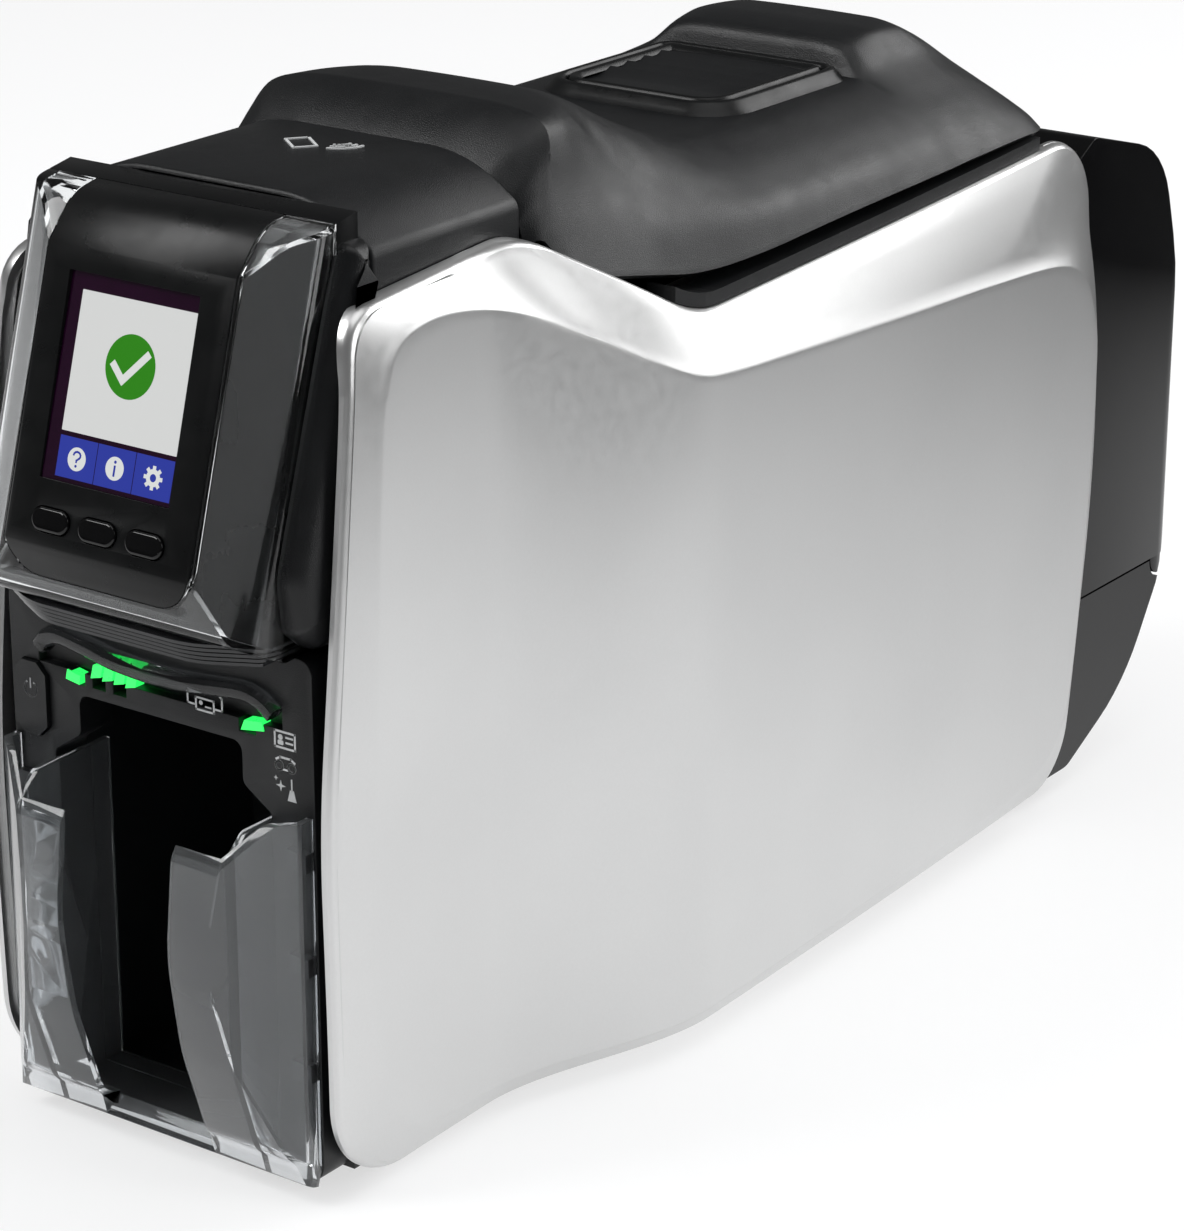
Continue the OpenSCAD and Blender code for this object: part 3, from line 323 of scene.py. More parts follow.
def glowing(name, colour, strength, rough=0.3, body=0.5):
    """A lit surface. body is how much of its colour it shows under the room's light."""
    m = Mat(name, tuple(c * body for c in colour), rough)
    m.set("Emission Color", (*colour, 1))
    m.set("Emission Strength", strength)
    m.link(m.ramp(m.noise(3, 2), [(0.3, rough - 0.05), (0.7, rough + 0.05)]), "Roughness")
    return m.m


# ---- meshes -----------------------------------------------------------------------


def to_object(bm, name, mat=None):
    mesh = bpy.data.meshes.new(name)
    bmesh.ops.recalc_face_normals(bm, faces=bm.faces)
    bm.to_mesh(mesh)
    bm.free()
    obj = bpy.data.objects.new(name, mesh)
    bpy.context.scene.collection.objects.link(obj)
    if mat:
        mesh.materials.append(mat)
    return obj


def mesh_object(verts, faces, name="part", mat=None):
    """An object from vertices in mm."""
    bm = bmesh.new()
    made = [bm.verts.new(tuple(c * MM for c in v)) for v in verts]
    for f in faces:
        bm.faces.new([made[i] for i in f])
    return to_object(bm, name, mat)


def apply_modifiers(obj):
    bpy.context.view_layer.update()
    old = obj.data
    obj.data = bpy.data.meshes.new_from_object(
        obj.evaluated_get(bpy.context.evaluated_depsgraph_get()))
    obj.modifiers.clear()
    bpy.data.meshes.remove(old)


def piece(name, verts, faces, mat, body, nodes, smooth, modifiers=()):
    """A piece from vertices in mm, where a face that collapses or repeats is left out.

    modifiers are (type, settings) pairs, applied in order."""
    bm = bmesh.new()
    made = [bm.verts.new((v[0] * MM, v[1] * MM, v[2] * MM)) for v in verts]
    for f in faces:
        try:
            bm.faces.new([made[i] for i in f])
        except ValueError:
            pass
    bmesh.ops.remove_doubles(bm, verts=bm.verts, dist=1e-6)
    return seat(to_object(bm, name, mat), body, nodes, smooth, modifiers)


def seat(obj, body, nodes, smooth, modifiers=()):
    """Puts a piece on its body, in place of the named nodes, smooth below an angle."""
    for kind, settings in modifiers:
        mod = obj.modifiers.new(kind.lower(), kind)
        for key, value in settings.items():
            setattr(mod, key, value)
    if modifiers:
        apply_modifiers(obj)
    obj.data.shade_smooth()
    obj.data.set_sharp_from_angle(angle=math.radians(smooth))
    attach(obj, body)
    if nodes:
        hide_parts(*nodes)
    return obj


def rings(loops, closed=True, cap_first=False, cap_last=False):
    """Vertices and quads that join loops of equal length, each a list of (x, y, z)."""
    n = len(loops[0])
    verts = [p for loop in loops for p in loop]
    faces = []
    for k in range(len(loops) - 1):
        for i in range(n if closed else n - 1):
            j = (i + 1) % n
            faces.append((k * n + i, k * n + j, (k + 1) * n + j, (k + 1) * n + i))
    if cap_first:
        faces.append(tuple(range(n - 1, -1, -1)))
    if cap_last:
        faces.append(tuple((len(loops) - 1) * n + i for i in range(n)))
    return verts, faces


def paint(name, mat):
    """A CAD node keeps its shape and gets a better material."""
    obj = NODES[name]
    if not obj.material_slots:
        obj.data.materials.append(mat)
    for slot in obj.material_slots:
        slot.link = "OBJECT"
        slot.material = mat


def refine(name, mat, body, width, segments=3, outer=False):
    """A CAD node's shape with edges rounded by width mm, in place of the node.

    With outer, corners that point inwards stay sharp."""
    bm = bmesh.new()
    bm.from_mesh(NODES[name].data)
    bmesh.ops.remove_doubles(bm, verts=bm.verts, dist=2e-6)
    bmesh.ops.dissolve_limit(bm, angle_limit=math.radians(1), verts=bm.verts, edges=bm.edges)
    sharp = [e for e in bm.edges
             if len(e.link_faces) == 2 and e.calc_face_angle(0) > math.radians(32)
             and (e.is_convex or not outer)]
    bmesh.ops.bevel(bm, geom=sharp, offset=width * MM, segments=segments, profile=0.5,
                    affect="EDGES", clamp_overlap=True)
    return seat(to_object(bm, name + "_v", mat), body, (name,), 40)


# ---- outlines and curves ------------------------------------------------------------
# An outline has corners [x, y, radius], counter-clockwise, as in the CAD.


def unit(a):
    return a / np.linalg.norm(a)


def inset(corners, d):
    """The outline moved inwards by d."""
    out = []
    n = len(corners)
    for i in range(n):
        p = np.array(corners[i][:2], float)
        e0 = unit(p - np.array(corners[i - 1][:2], float))
        e1 = unit(np.array(corners[(i + 1) % n][:2], float) - p)
        n0, n1 = np.array([-e0[1], e0[0]]), np.array([-e1[1], e1[0]])
        q = p + d * (n0 + n1) / (1 + n0 @ n1)
        side = -1 if e0[0] * e1[1] - e0[1] * e1[0] > 0 else 1
        r = corners[i][2]
        out.append([q[0], q[1], max(r + side * d, 0.5) if r > 0 else 0])
    return out


def rounded(corners, steps):
    """The points of an outline, with each corner's arc in steps."""
    out = []
    n = len(corners)
    for i in range(n):
        p1 = np.array(corners[i][:2], float)
        r = corners[i][2]
        if r <= 0:
            out.append(p1)
            continue
        u = unit(np.array(corners[i - 1][:2], float) - p1)
        w = unit(np.array(corners[(i + 1) % n][:2], float) - p1)
        half = math.acos(max(-1, min(1, u @ w))) / 2
        c = p1 + unit(u + w) * r / math.sin(half)
        a = p1 + u * r / math.tan(half) - c
        b = p1 + w * r / math.tan(half) - c
        a0 = math.atan2(a[1], a[0])
        sweep = (math.atan2(b[1], b[0]) - a0 + 3 * math.pi) % (2 * math.pi) - math.pi
        for k in range(steps + 1):
            t = a0 + sweep * k / steps
            out.append(c + r * np.array([math.cos(t), math.sin(t)]))
    return np.array(out)


def mirrored(corners):
    """An outline from its right half."""
    return corners + [[-c[0], c[1], c[2]] for c in corners[::-1]]


def resample(points, step, close=True):
    """Points evenly spaced along an outline."""
    p = np.array(points)
    if close:
        p = np.vstack([p, p[:1]])
    s = np.concatenate([[0], np.cumsum(np.linalg.norm(np.diff(p, axis=0), axis=1))])
    n = max(3, int(round(s[-1] / step)))
    t = np.linspace(0, s[-1], n + 1)[: n if close else n + 1]
    return np.stack([np.interp(t, s, p[:, k]) for k in range(p.shape[1])], axis=1)


def smooth_curve(keys, values, at):
    """Monotone cubic through (keys, values), at each place in at."""
    x, y = np.array(keys, float), np.array(values, float)
    h = np.diff(x)
    d = np.diff(y) / h
    m = np.zeros(len(x))
    m[0], m[-1] = d[0], d[-1]
    for i in range(1, len(x) - 1):
        if d[i - 1] * d[i] > 0:
            w1, w2 = 2 * h[i] + h[i - 1], h[i] + 2 * h[i - 1]
            m[i] = (w1 + w2) / (w1 / d[i - 1] + w2 / d[i])
    at = np.clip(np.array(at, float), x[0], x[-1])
    i = np.clip(np.searchsorted(x, at) - 1, 0, len(h) - 1)
    t = (at - x[i]) / h[i]
    return ((2 * t**3 - 3 * t**2 + 1) * y[i] + (t**3 - 2 * t**2 + t) * h[i] * m[i]
            + (-2 * t**3 + 3 * t**2) * y[i + 1] + (t**3 - t**2) * h[i] * m[i + 1])


def closed_curve(points, steps):
    """Catmull-Rom curve through a closed list of points."""
    p = np.array(points, float)
    out = []
    for i in range(len(p)):
        a, b, c, d = p[i - 1], p[i], p[(i + 1) % len(p)], p[(i + 2) % len(p)]
        for t in np.arange(steps) / steps:
            out.append(0.5 * (2 * b + (c - a) * t + (2 * a - 5 * b + 4 * c - d) * t**2
                              + (3 * b - a - 3 * c + d) * t**3))
    return np.array(out)


def smoothstep(t):
    t = np.clip(t, 0, 1)
    return t * t * (3 - 2 * t)


def inside(outline, p):
    """Whether the point p lies in a convex outline."""
    a, b = outline, np.roll(outline, -1, axis=0)
    turn = (b[:, 0] - a[:, 0]) * (p[1] - a[:, 1]) - (b[:, 1] - a[:, 1]) * (p[0] - a[:, 0])
    return bool(np.all(turn >= -1e-6))


# ---- sizes that the CAD is built from -----------------------------------------------

FRONT_Y, FASCIA_Y, BUTTON_Y = -217.0, -196.0, -197.2
CORE, BODY_HALF, FRONT_HALF = 50.0, 79.0, 59.5
PANEL_FRONT, PANEL_REAR = -200.5, 146.0
DECK, HUMP = 209.0, 236.0
PANEL = [
    [PANEL_FRONT + 2, 3, 26], [PANEL_REAR - 12, 11, 20], [PANEL_REAR + 1, DECK / 2, 300],
    [PANEL_REAR - 3, DECK + 6, 22], [-64, DECK - 3, 40], [-118, HUMP, 28],
    [PANEL_FRONT + 14, HUMP - 5, 12], [PANEL_FRONT, DECK / 2, 300]]


def plan_x(y):
    """Half width of the body: slim at the front, full from the middle, slimmer at the end."""
    y = np.asarray(y, float)
    return (FRONT_HALF + (BODY_HALF - FRONT_HALF) * smoothstep((y + 138) / 75)
            - np.where(y > 0, 2.5 * (y / PANEL_REAR) ** 2, 0))


# ---- side panels ----------------------------------------------------------------------

# The crease that bounds the flat field of a side panel: y, z, and how far the panel falls
# away towards its edge outside the crease.
CREASE = [
    (141, 141, 3), (138.5, 160, 4), (131, 173, 6), (115, 180, 7.5), (75, 183.5, 8),
    (23, 186, 8), (-27, 188.5, 8), (-58, 190.5, 8), (-72.6, 193, 8), (-88, 200, 8),
    (-103.5, 208.5, 7.5), (-127.5, 219.5, 7), (-150, 224.5, 6.5), (-165, 224.0, 6),
    (-173, 219.5, 4.6), (-176.5, 211, 3.4), (-178.5, 200, 2.6), (-181.5, 150, 2.3),
    (-184.5, 100, 2.3), (-185.5, 60, 2.3), (-183, 34, 2.5), (-174, 17, 3), (-158, 11.5, 3.4),
    (-100, 10.5, 3.5), (-50, 12, 3), (0, 13.5, 3), (50, 15.5, 3), (100, 17.5, 3), (122, 24, 3),
    (132, 40, 3), (138.5, 90, 3)]
PANEL_CENTRE = np.array([-30.0, 108.0])
PANEL_T = 3.0


def by_angle(yz, *values):
    """Angle round the panel's centre and distance from it, sorted and wrapped for np.interp."""
    d = yz - PANEL_CENTRE
    ang = np.arctan2(d[:, 1], d[:, 0]) % (2 * math.pi)
    order = np.argsort(ang)
    tables = [np.linalg.norm(d, axis=1)[order]] + [v[order] for v in values]
    wrapped = np.concatenate([ang[order] - 2 * math.pi, ang[order], ang[order] + 2 * math.pi])
    return wrapped, [np.tile(t, 3) for t in tables]


def side_panel(sign, mat):
    """A bowed shell in rings round its centre: field, crease, bevel, thin edge, inner side."""
    edge = resample(rounded(PANEL, 24), 2.4)
    d = edge - PANEL_CENTRE
    ang = np.sort(np.arctan2(d[:, 1], d[:, 0]) % (2 * math.pi))
    keys, (edge_r,) = by_angle(edge)
    radius = np.interp(ang, keys, edge_r)
    curve = closed_curve(CREASE, 16)
    keys, (crease_r, drops) = by_angle(curve[:, :2], curve[:, 2])
    r_crease, fall = np.interp(ang, keys, crease_r), np.interp(ang, keys, drops)
    keys, (inner_r,) = by_angle(resample(rounded(inset(PANEL, 3), 24), 2.4))
    r_in = np.interp(ang, keys, inner_r)
    ray = np.stack([np.cos(ang), np.sin(ang)], axis=1)
    loops = []

    def loop(r, sink=0.0, x=None):
        yz = PANEL_CENTRE + ray * np.asarray(r)[:, None]
        x = plan_x(yz[:, 0]) - sink if x is None else x
        loops.append([(sign * x[i], yz[i, 0], yz[i, 1]) for i in range(len(ang))])

    field_rings = 30
    for k in range(1, field_rings):
        loop(r_crease * k / field_rings)
    loop(r_crease - 1.0)
    loop(r_crease - 0.3, fall * 0.008)
    loop(r_crease + 0.5, fall * 0.035)
    gap = radius - r_crease
    for t in (0.15, 0.3, 0.5, 0.7, 0.82):
        loop(r_crease + gap * t, fall * (0.03 + 0.72 * t))
    for back, share in ((2.4, 0.72), (1.6, 0.78), (0.9, 0.88), (0.35, 1.05), (0, 1.3)):
        loop(radius - back, fall * share)
    yz = PANEL_CENTRE + ray * radius[:, None]
    beside_door = (yz[:, 0] > 115.9) & (yz[:, 1] > 60)
    rim = np.where(beside_door, 68.2, CORE + 0.4)
    lip = plan_x(yz[:, 0]) - fall * 1.3 - 1.4      # the front edge is a thin lip
    rim = lip + (rim - lip) * smoothstep((yz[:, 0] + 190) / 14)
    loop(radius, x=rim)
    loop(r_in, x=rim)
    loop(r_in, fall + 3.4)
    for k in (24, 18, 12, 6, 2):
        loop(r_crease * k / 25, PANEL_T)
    verts, faces = rings(loops)
    n = len(ang)
    for sink, base in ((0, 0), (PANEL_T, (len(loops) - 1) * n)):
        verts.append((sign * (float(plan_x(PANEL_CENTRE[0])) - sink), *PANEL_CENTRE))
        faces += [(base + i, base + (i + 1) % n, len(verts) - 1) for i in range(n)]
    side = "right" if sign > 0 else "left"
    return piece(side + "_panel_v", verts, faces, mat, "chassis", (side + "_side_panel",), 24)


# ---- lid ------------------------------------------------------------------------------

# Half sections of the lid: the place along it, then x and z of eight points from its middle
# to its lower edge.
LID = np.array([
    (-92, 0, 261, 24, 260.8, 38, 259.6, 45, 257, 48.6, 251.5, 50.2, 245, 52.2, 238, 54, 231.5),
    (-84, 0, 261, 23, 260.8, 36, 259.6, 43.5, 256.6, 47.6, 250.5, 50.6, 242.5, 55, 233, 60.2, 222.5),
    (-76, 0, 260.8, 21, 260.6, 33, 259.3, 40.5, 255.6, 45.6, 249, 50.6, 240, 56.6, 230, 62.6, 218.8),
    (-66, 0, 258.6, 19, 258.4, 29, 257, 36.5, 253, 43.4, 246, 50.6, 237, 58.6, 227.5, 65.2, 215.8),
    (-56, 0, 254.2, 19, 254, 29, 252.6, 36.5, 248.6, 44, 242, 52, 234.5, 60.6, 226, 67, 214.6),
    (-46, 0, 249, 20, 248.8, 31, 247.4, 38, 244, 46, 238.8, 54.4, 232.5, 62.6, 225, 68.2, 214.3),
    (-36, 0, 243.8, 22, 243.7, 34.6, 242.8, 38, 241.6, 48, 236.4, 56.4, 231, 64.2, 224.6, 69.2, 214.6),
    (-26, 0, 239.8, 22, 239.7, 36.4, 239.3, 38.6, 238.8, 49, 234.6, 57.4, 230, 65.2, 224.3, 69.8, 215),
    (-18, 0, 238.6, 22, 238.6, 37.2, 238.5, 38.8, 238.1, 49.2, 234.2, 57.8, 229.8, 65.6, 224.2, 70, 215.4),
    (10, 0, 238.5, 22, 238.5, 37.2, 238.5, 38.8, 238.2, 49.2, 234.3, 57.8, 229.9, 65.6, 224.3, 70, 216.6),
    (60, 0, 238.5, 22, 238.5, 37.2, 238.5, 38.8, 238.2, 49.2, 234.3, 57.8, 229.9, 65.6, 224.3, 70, 218.2),
    (66, 0, 239.2, 22, 239.2, 36.4, 239, 38.8, 238.3, 49.2, 234.4, 57.8, 229.9, 65.6, 224.3, 70, 218.4),
    (69.5, 0, 246.6, 20, 246.6, 28.6, 245.6, 38.6, 239.4, 49.2, 234.5, 57.8, 230, 65.6, 224.3, 70, 218.6),
    (73, 0, 248.6, 20, 248.5, 28.8, 247.4, 38.4, 240.2, 49.2, 234.6, 57.8, 230, 65.6, 224.3, 70, 218.8),
    (84, 0, 250.2, 20, 250.1, 29.2, 248.9, 38.2, 241.2, 49, 234.8, 57.6, 230, 65.4, 224.3, 69.8, 219),
    (96, 0, 250, 20, 249.8, 29.4, 248.2, 38.2, 240.8, 48.6, 234.6, 57, 229.8, 64.8, 224.2, 69.4, 219.2),
    (106, 0, 246.6, 20, 246.3, 30, 244.4, 38.6, 238.6, 48.2, 233.4, 56.2, 228.9, 63.8, 223.8, 68.6, 219),
    (116, 0, 240.8, 20, 240.5, 30, 238.8, 38.6, 235, 47.4, 230.8, 55, 227, 62.4, 222.6, 67.2, 218.4),
    (124.2, 0, 233.6, 20, 233.4, 30, 232.2, 38.4, 229.8, 46.4, 227, 53.4, 224, 59.6, 220.8, 63.6, 217.6),
    (129.8, 0, 225.6, 20, 225.5, 30, 224.8, 38, 223.4, 45.4, 221.6, 51.6, 219.8, 56.4, 218, 59.6, 216.2),
    (133.4, 0, 218, 20, 217.9, 30, 217.6, 37.6, 217.2, 44.4, 216.7, 50, 216.2, 54, 215.7, 56.6, 215.2),
])


def lid_grid(stations, across):
    """x, y, z of the lid's outer surface, one row for each place along it."""
    keys, pts = LID[:, 0], LID[:, 1:].reshape(len(LID), -1, 2)
    rows = []
    for y in stations:
        half = np.array([[smooth_curve(keys, pts[:, i, c], [y])[0] for c in (0, 1)]
                         for i in range(pts.shape[1])])
        full = np.vstack([half[:0:-1] * [-1, 1], half])
        s = np.concatenate([[0], np.cumsum(np.linalg.norm(np.diff(full, axis=0), axis=1))])
        t = np.linspace(0, s[-1], across)
        x = smooth_curve(s, full[:, 0], t)
        z = smooth_curve(s, full[:, 1], t)
        lean = (1 - smoothstep((y - LID[0, 0]) / 26)) * (-14 * (RIDGE_Z - z) / 29)
        rows.append([(x[i], y + lean[i], z[i]) for i in range(across)])
    return rows


# The front edge of the lid tucks in behind the top cover; the collar's front face slopes
# from there up to its ridge.
LID_FRONT = [(0, 250.6), (24, 249.6), (38, 246.0), (45.5, 241.6), (48.6, 237), (49.6, 233.5),
             (50.4, 231), (51, 229)]
LID_FRONT_Y, RIDGE_Z, FIELD_Z = -110.4, 261, 238.5
LID_T = 2.6
PADDLE = [[-27, 8, 9], [27, 8, 9], [27, 64, 3], [-27, 64, 3]]
PADDLE_GAP = 0.9


def front_ring(grow, across):
    half = np.array(LID_FRONT) + [0, grow]
    full = np.vstack([half[:0:-1] * [-1, 1], half])
    line = resample(full, 0.5, False)
    at = np.linspace(0, len(line) - 1, across)
    return [(np.interp(t, range(len(line)), line[:, 0]), LID_FRONT_Y,
             np.interp(t, range(len(line)), line[:, 1])) for t in at]


def lid(mat):
    across = 101
    ys = np.concatenate([np.linspace(LID[0, 0], -18, 44), np.linspace(-14, 58, 25),
                         np.linspace(60, 76, 22), np.linspace(78, LID[-1, 0], 36)])
    rows = lid_grid(ys, across)
    ridge, foot = np.array(rows[0]), np.array(front_ring(0, across))
    face = [foot + (ridge - foot) * t + [0, 0, 1.6 * math.sin(math.pi * t)]
            for t in (0, 0.25, 0.5, 0.75, 0.93)]
    rows = [front_ring(-3, across)] + [[tuple(q) for q in f] for f in face] + rows
    verts, faces = rings(rows, closed=False)
    cutter = mesh_object(*rings(paddle_loops(8, [(-PADDLE_GAP, 225), (-PADDLE_GAP, 260)]),
                                True, True, True))
    piece("lid_shell_v", verts, faces, mat, "lid", ("lid_shell",), 30, (
        ("SOLIDIFY", {"thickness": LID_T * MM, "offset": -1.0, "use_even_offset": True,
                      "use_quality_normals": True}),
        ("BOOLEAN", {"object": cutter, "operation": "DIFFERENCE", "solver": "EXACT"}),
        ("BEVEL", {"width": 0.9 * MM, "segments": 3, "limit_method": "ANGLE",
                   "angle_limit": math.radians(42)}),
    ))
    bpy.data.objects.remove(cutter)


def paddle_loops(steps, profile):
    """The paddle's outline, moved inwards and lifted by each (inset, height) of a profile."""
    return [[(p[0], p[1], z) for p in rounded(inset(PADDLE, d), steps)] for d, z in profile]


def paddle_rim(mat):
    """The raised lip of the lid round the latch paddle."""
    profile = ((-PADDLE_GAP, -1), (-PADDLE_GAP, 2.0), (-1.5, 3.2), (-2.6, 3.5), (-3.8, 3.0),
               (-5.2, 1.2), (-7.5, -0.4))
    verts, faces = rings(paddle_loops(10, [(d, FIELD_Z + z) for d, z in profile]))
    piece("paddle_rim_v", verts, faces, mat, "lid", (), 50)


def paddle(mat, ribs):
    """The latch paddle: a raised lip round a dished top with stepped ribs."""
    top = FIELD_Z + 2.4
    profile = ((0.6, 235.5), (0, 236), (0, top - 0.4), (0.5, top + 0.9), (1.6, top + 1.3),
               (2.8, top + 0.9), (3.8, top - 0.1))
    verts, faces = rings(paddle_loops(10, profile), True, True, False)
    piece("paddle_edge_v", verts, faces, mat, "latch", ("latch_paddle",), 50)
    half, pitch, height = 24.6, 8.4, 1.5
    grid = []
    for y in np.arange(10, 63.01, 0.5):
        step = (y - 22) / pitch
        rib = height * (step % 1.0) ** 1.4 if 0 <= step < 4.99 else 0
        grid.append([(x, y, top - 0.4 + rib - 0.5 * (x / half) ** 2)
                     for x in np.linspace(-half, half, 25)])
    verts, faces = rings(grid, closed=False)
    cut = rounded(inset(PADDLE, 3.4), 10)
    keep = [f for f in faces if inside(cut, np.mean([verts[i][:2] for i in f], axis=0))]
    piece("paddle_ribs_v", verts, keep, ribs, "latch", (), 20)


# ---- display head ---------------------------------------------------------------------

SEAM_Y, TILT, FACE_LOW = -170.0, math.radians(16.5), 168.0
FACE_HALF, BEZEL_HALF, BEZEL_T = 30.0, 46.0, 2.4
PLATE_GAP = 0.25
COLLAR_Y = SEAM_Y - 8
FACE_HIGH = FACE_LOW + 72 * math.cos(TILT)


def face_y(z):
    """Where the tilted face is at a height."""
    return FRONT_Y + (z - FACE_LOW) * math.tan(TILT)


HEAD_SIDE = [
    [SEAM_Y, 148.3, 0], [SEAM_Y, 251.5, 0], [face_y(FACE_HIGH) + 10, 248.5, 14],
    [face_y(FACE_HIGH) - 1, FACE_HIGH - 1, 12], [FRONT_Y, FACE_LOW, 14],
    [FRONT_Y + 2, 153.3, 4], [FRONT_Y + 16, 146.3, 6]]
HEAD_PLAN = [[FACE_HALF - 2, 0, 24], [BEZEL_HALF, 10, 6], [BEZEL_HALF, 107, 0]]


def face_to_world(x, up, out):
    """A point on the tilted face, in mm: across, up from its foot, and out of it."""
    return (x, FRONT_Y + up * math.sin(TILT) - out * math.cos(TILT),
            FACE_LOW + up * math.cos(TILT) + out * math.sin(TILT))


def boolean(obj, other, operation):
    mod = obj.modifiers.new("cut", "BOOLEAN")
    mod.object, mod.operation, mod.solver = other, operation, "EXACT"
    apply_modifiers(obj)
    bpy.data.objects.remove(other)
    return obj


def bevelled(obj, width, segments, angle):
    mod = obj.modifiers.new("bevel", "BEVEL")
    mod.width, mod.segments, mod.limit_method = width * MM, segments, "ANGLE"
    mod.angle_limit = math.radians(angle)
    apply_modifiers(obj)
    return obj


def head_solid(d, edge):
    """The head's outer form moved inwards by d: its side outline across, cut to its plan."""
    side, reach = rounded(inset(HEAD_SIDE, d), 8), BEZEL_HALF + 5
    body = mesh_object(*rings([[(x, p[0], p[1]) for p in side] for x in (-reach, reach)],
                              True, True, True))
    plan = rounded(inset(mirrored(HEAD_PLAN), d), 12)
    column = [[(p[0], FRONT_Y - 1 + p[1] * math.cos(TILT) + z * math.sin(TILT),
                FACE_LOW - p[1] * math.sin(TILT) + z * math.cos(TILT)) for p in plan]
              for z in (-60, 140)]
    boolean(body, mesh_object(*rings(column, True, True, True)), "INTERSECT")
    return bevelled(body, edge, 4, 32)


def plate_outline(grow):
    """The face plate: straight sides and a foot with round corners, across and up the face."""
    h, foot, r = FACE_HALF + grow, -7.8 - grow, 11 + grow
    return rounded([[h, 110, 0], [-h, 110, 0], [-h, foot, r], [h, foot, r]], 12)


def face_prism(outline, low, high):
    """A solid over an outline on the tilted face, from low to high out of it."""
    loops = [[face_to_world(p[0], p[1], z) for p in outline] for z in (low, high)]
    return mesh_object(*rings(loops, True, True, True))


def pill_outline(x, up, w, h):
    out, n = [], 10
    for side in (1, -1):
        for k in range(n + 1):
            a = side * math.pi / 2 - math.pi * k / n
            out.append((x + side * (w - h) / 2 + math.cos(a) * h / 2, up + math.sin(a) * h / 2))
    return out


def display_head(plate_mat, clear_mat):
    """One hollow head, cut into the face plate and the clear shell round it."""
    shell = boolean(head_solid(0, 3.2), head_solid(BEZEL_T, 1.6), "DIFFERENCE")
    ahead = ((-60, FRONT_Y - 9), (60, FRONT_Y - 9), (60, COLLAR_Y), (-60, COLLAR_Y))
    block = [[(x, y, z) for x, y in ahead] for z in (140, 270)]
    boolean(shell, mesh_object(*rings(block, True, True, True)), "INTERSECT")
    plate = shell.copy()
    plate.data = shell.data.copy()
    bpy.context.scene.collection.objects.link(plate)
    boolean(shell, face_prism(plate_outline(PLATE_GAP), -60, 12), "DIFFERENCE")
    boolean(plate, face_prism(plate_outline(0), -60, 12), "INTERSECT")
    window = [(-20.9, 16.4), (20.9, 16.4), (20.9, 67.6), (-20.9, 67.6)]
    boolean(plate, face_prism(window, -12, 6), "DIFFERENCE")
    for k in (-1, 0, 1):
        boolean(plate, face_prism(pill_outline(k * 15.2, 6.5, 12.6, 6.6), -12, 6), "DIFFERENCE")
    bevelled(plate, 0.35, 2, 38)
    bevelled(shell, 0.35, 2, 38)
    for obj, name, mat, node in ((plate, "face_plate_v", plate_mat, "display_face"),
                                 (shell, "clear_shell_v", clear_mat, "display_bezel")):
        obj.name = obj.data.name = name
        obj.data.materials.clear()
        obj.data.materials.append(mat)
        seat(obj, "chassis", (node,), 32)


def lip_ridges(mat):
    """The stepped ridges under the clear lip of the head."""
    loops = []
    outer = mirrored([[FACE_HALF - 4, 0, 24], [BEZEL_HALF - 2, 9.5, 6], [BEZEL_HALF - 2, 24, 0]])
    for k in range(5):
        z, d = 151.2 - 1.5 * k, 0.2 + 1.1 * k
        for step, drop in ((1.6, 0), (0, 0.2), (0, 1.0), (1.6, 1.3)):
            plan = rounded(inset(outer, d + step), 10)
            loops.append([(q[0], FRONT_Y + 3.0 + q[1], z - drop) for q in plan])
    verts, faces = rings(loops, True, True, True)
    piece("lip_ridges_v", verts, faces, mat, "chassis", (), 30)


# Side outline of the cheeks, and how their flank turns in: half width and inset.
CHEEK = [
    [SEAM_Y, 147.5, 0], [SEAM_Y, 245, 0], [face_y(FACE_HIGH) + 19.5, 245, 3],
    [face_y(FACE_HIGH) + 15.5, FACE_HIGH - 3, 6], [FRONT_Y + 15, FACE_LOW, 14],
    [FRONT_Y + 16.5, 154, 4], [FRONT_Y + 24, 147.5, 6]]
CHEEK_TURN = ((44, 0), (47.4, 0.1), (49.2, 0.7), (50.6, 1.8), (51.7, 3.4), (52.4, 5.6), (52.8, 9))


def cheeks(mat):
    """The housing beside the clear shell turns round softly to the side panels."""
    for side, sign in (("right", 1), ("left", -1)):
        loops = [[(sign * x, q[0], q[1]) for q in rounded(inset(CHEEK, d), 8)]
                 for x, d in CHEEK_TURN]
        verts, faces = rings(loops, True, True, True)
        piece("cheek_" + side + "_v", verts, faces, mat, "chassis", (), 40)


# ---- marks: thin raised prints ----------------------------------------------------------


def stroke(points, width, close=False):
    """Quads along a line, each a closed outline."""
    out = []
    pts = [np.array(p, float) for p in points]
    pairs = list(zip(pts, pts[1:] + (pts[:1] if close else [])))
    for a, b in pairs:
        if np.allclose(a, b):
            continue
        u = unit(b - a)
        v = np.array([-u[1], u[0]]) * width / 2
        e = u * width * 0.45
        out.append([a - e - v, b + e - v, b + e + v, a - e + v])
    return out


def arc(x, y, r, start, end, n, ry=None):
    """n points on an arc, from start to end degrees."""
    return [(x + r * math.cos(a), y + (ry or r) * math.sin(a))
            for a in np.linspace(math.radians(start), math.radians(end), n)]


def disc(x, y, r, n=28):
    return arc(x, y, r, 0, 360, n + 1)[:-1]


def box2(x0, y0, x1, y1, r):
    return [tuple(p) for p in rounded([[x0, y0, r], [x1, y0, r], [x1, y1, r], [x0, y1, r]], 5)]


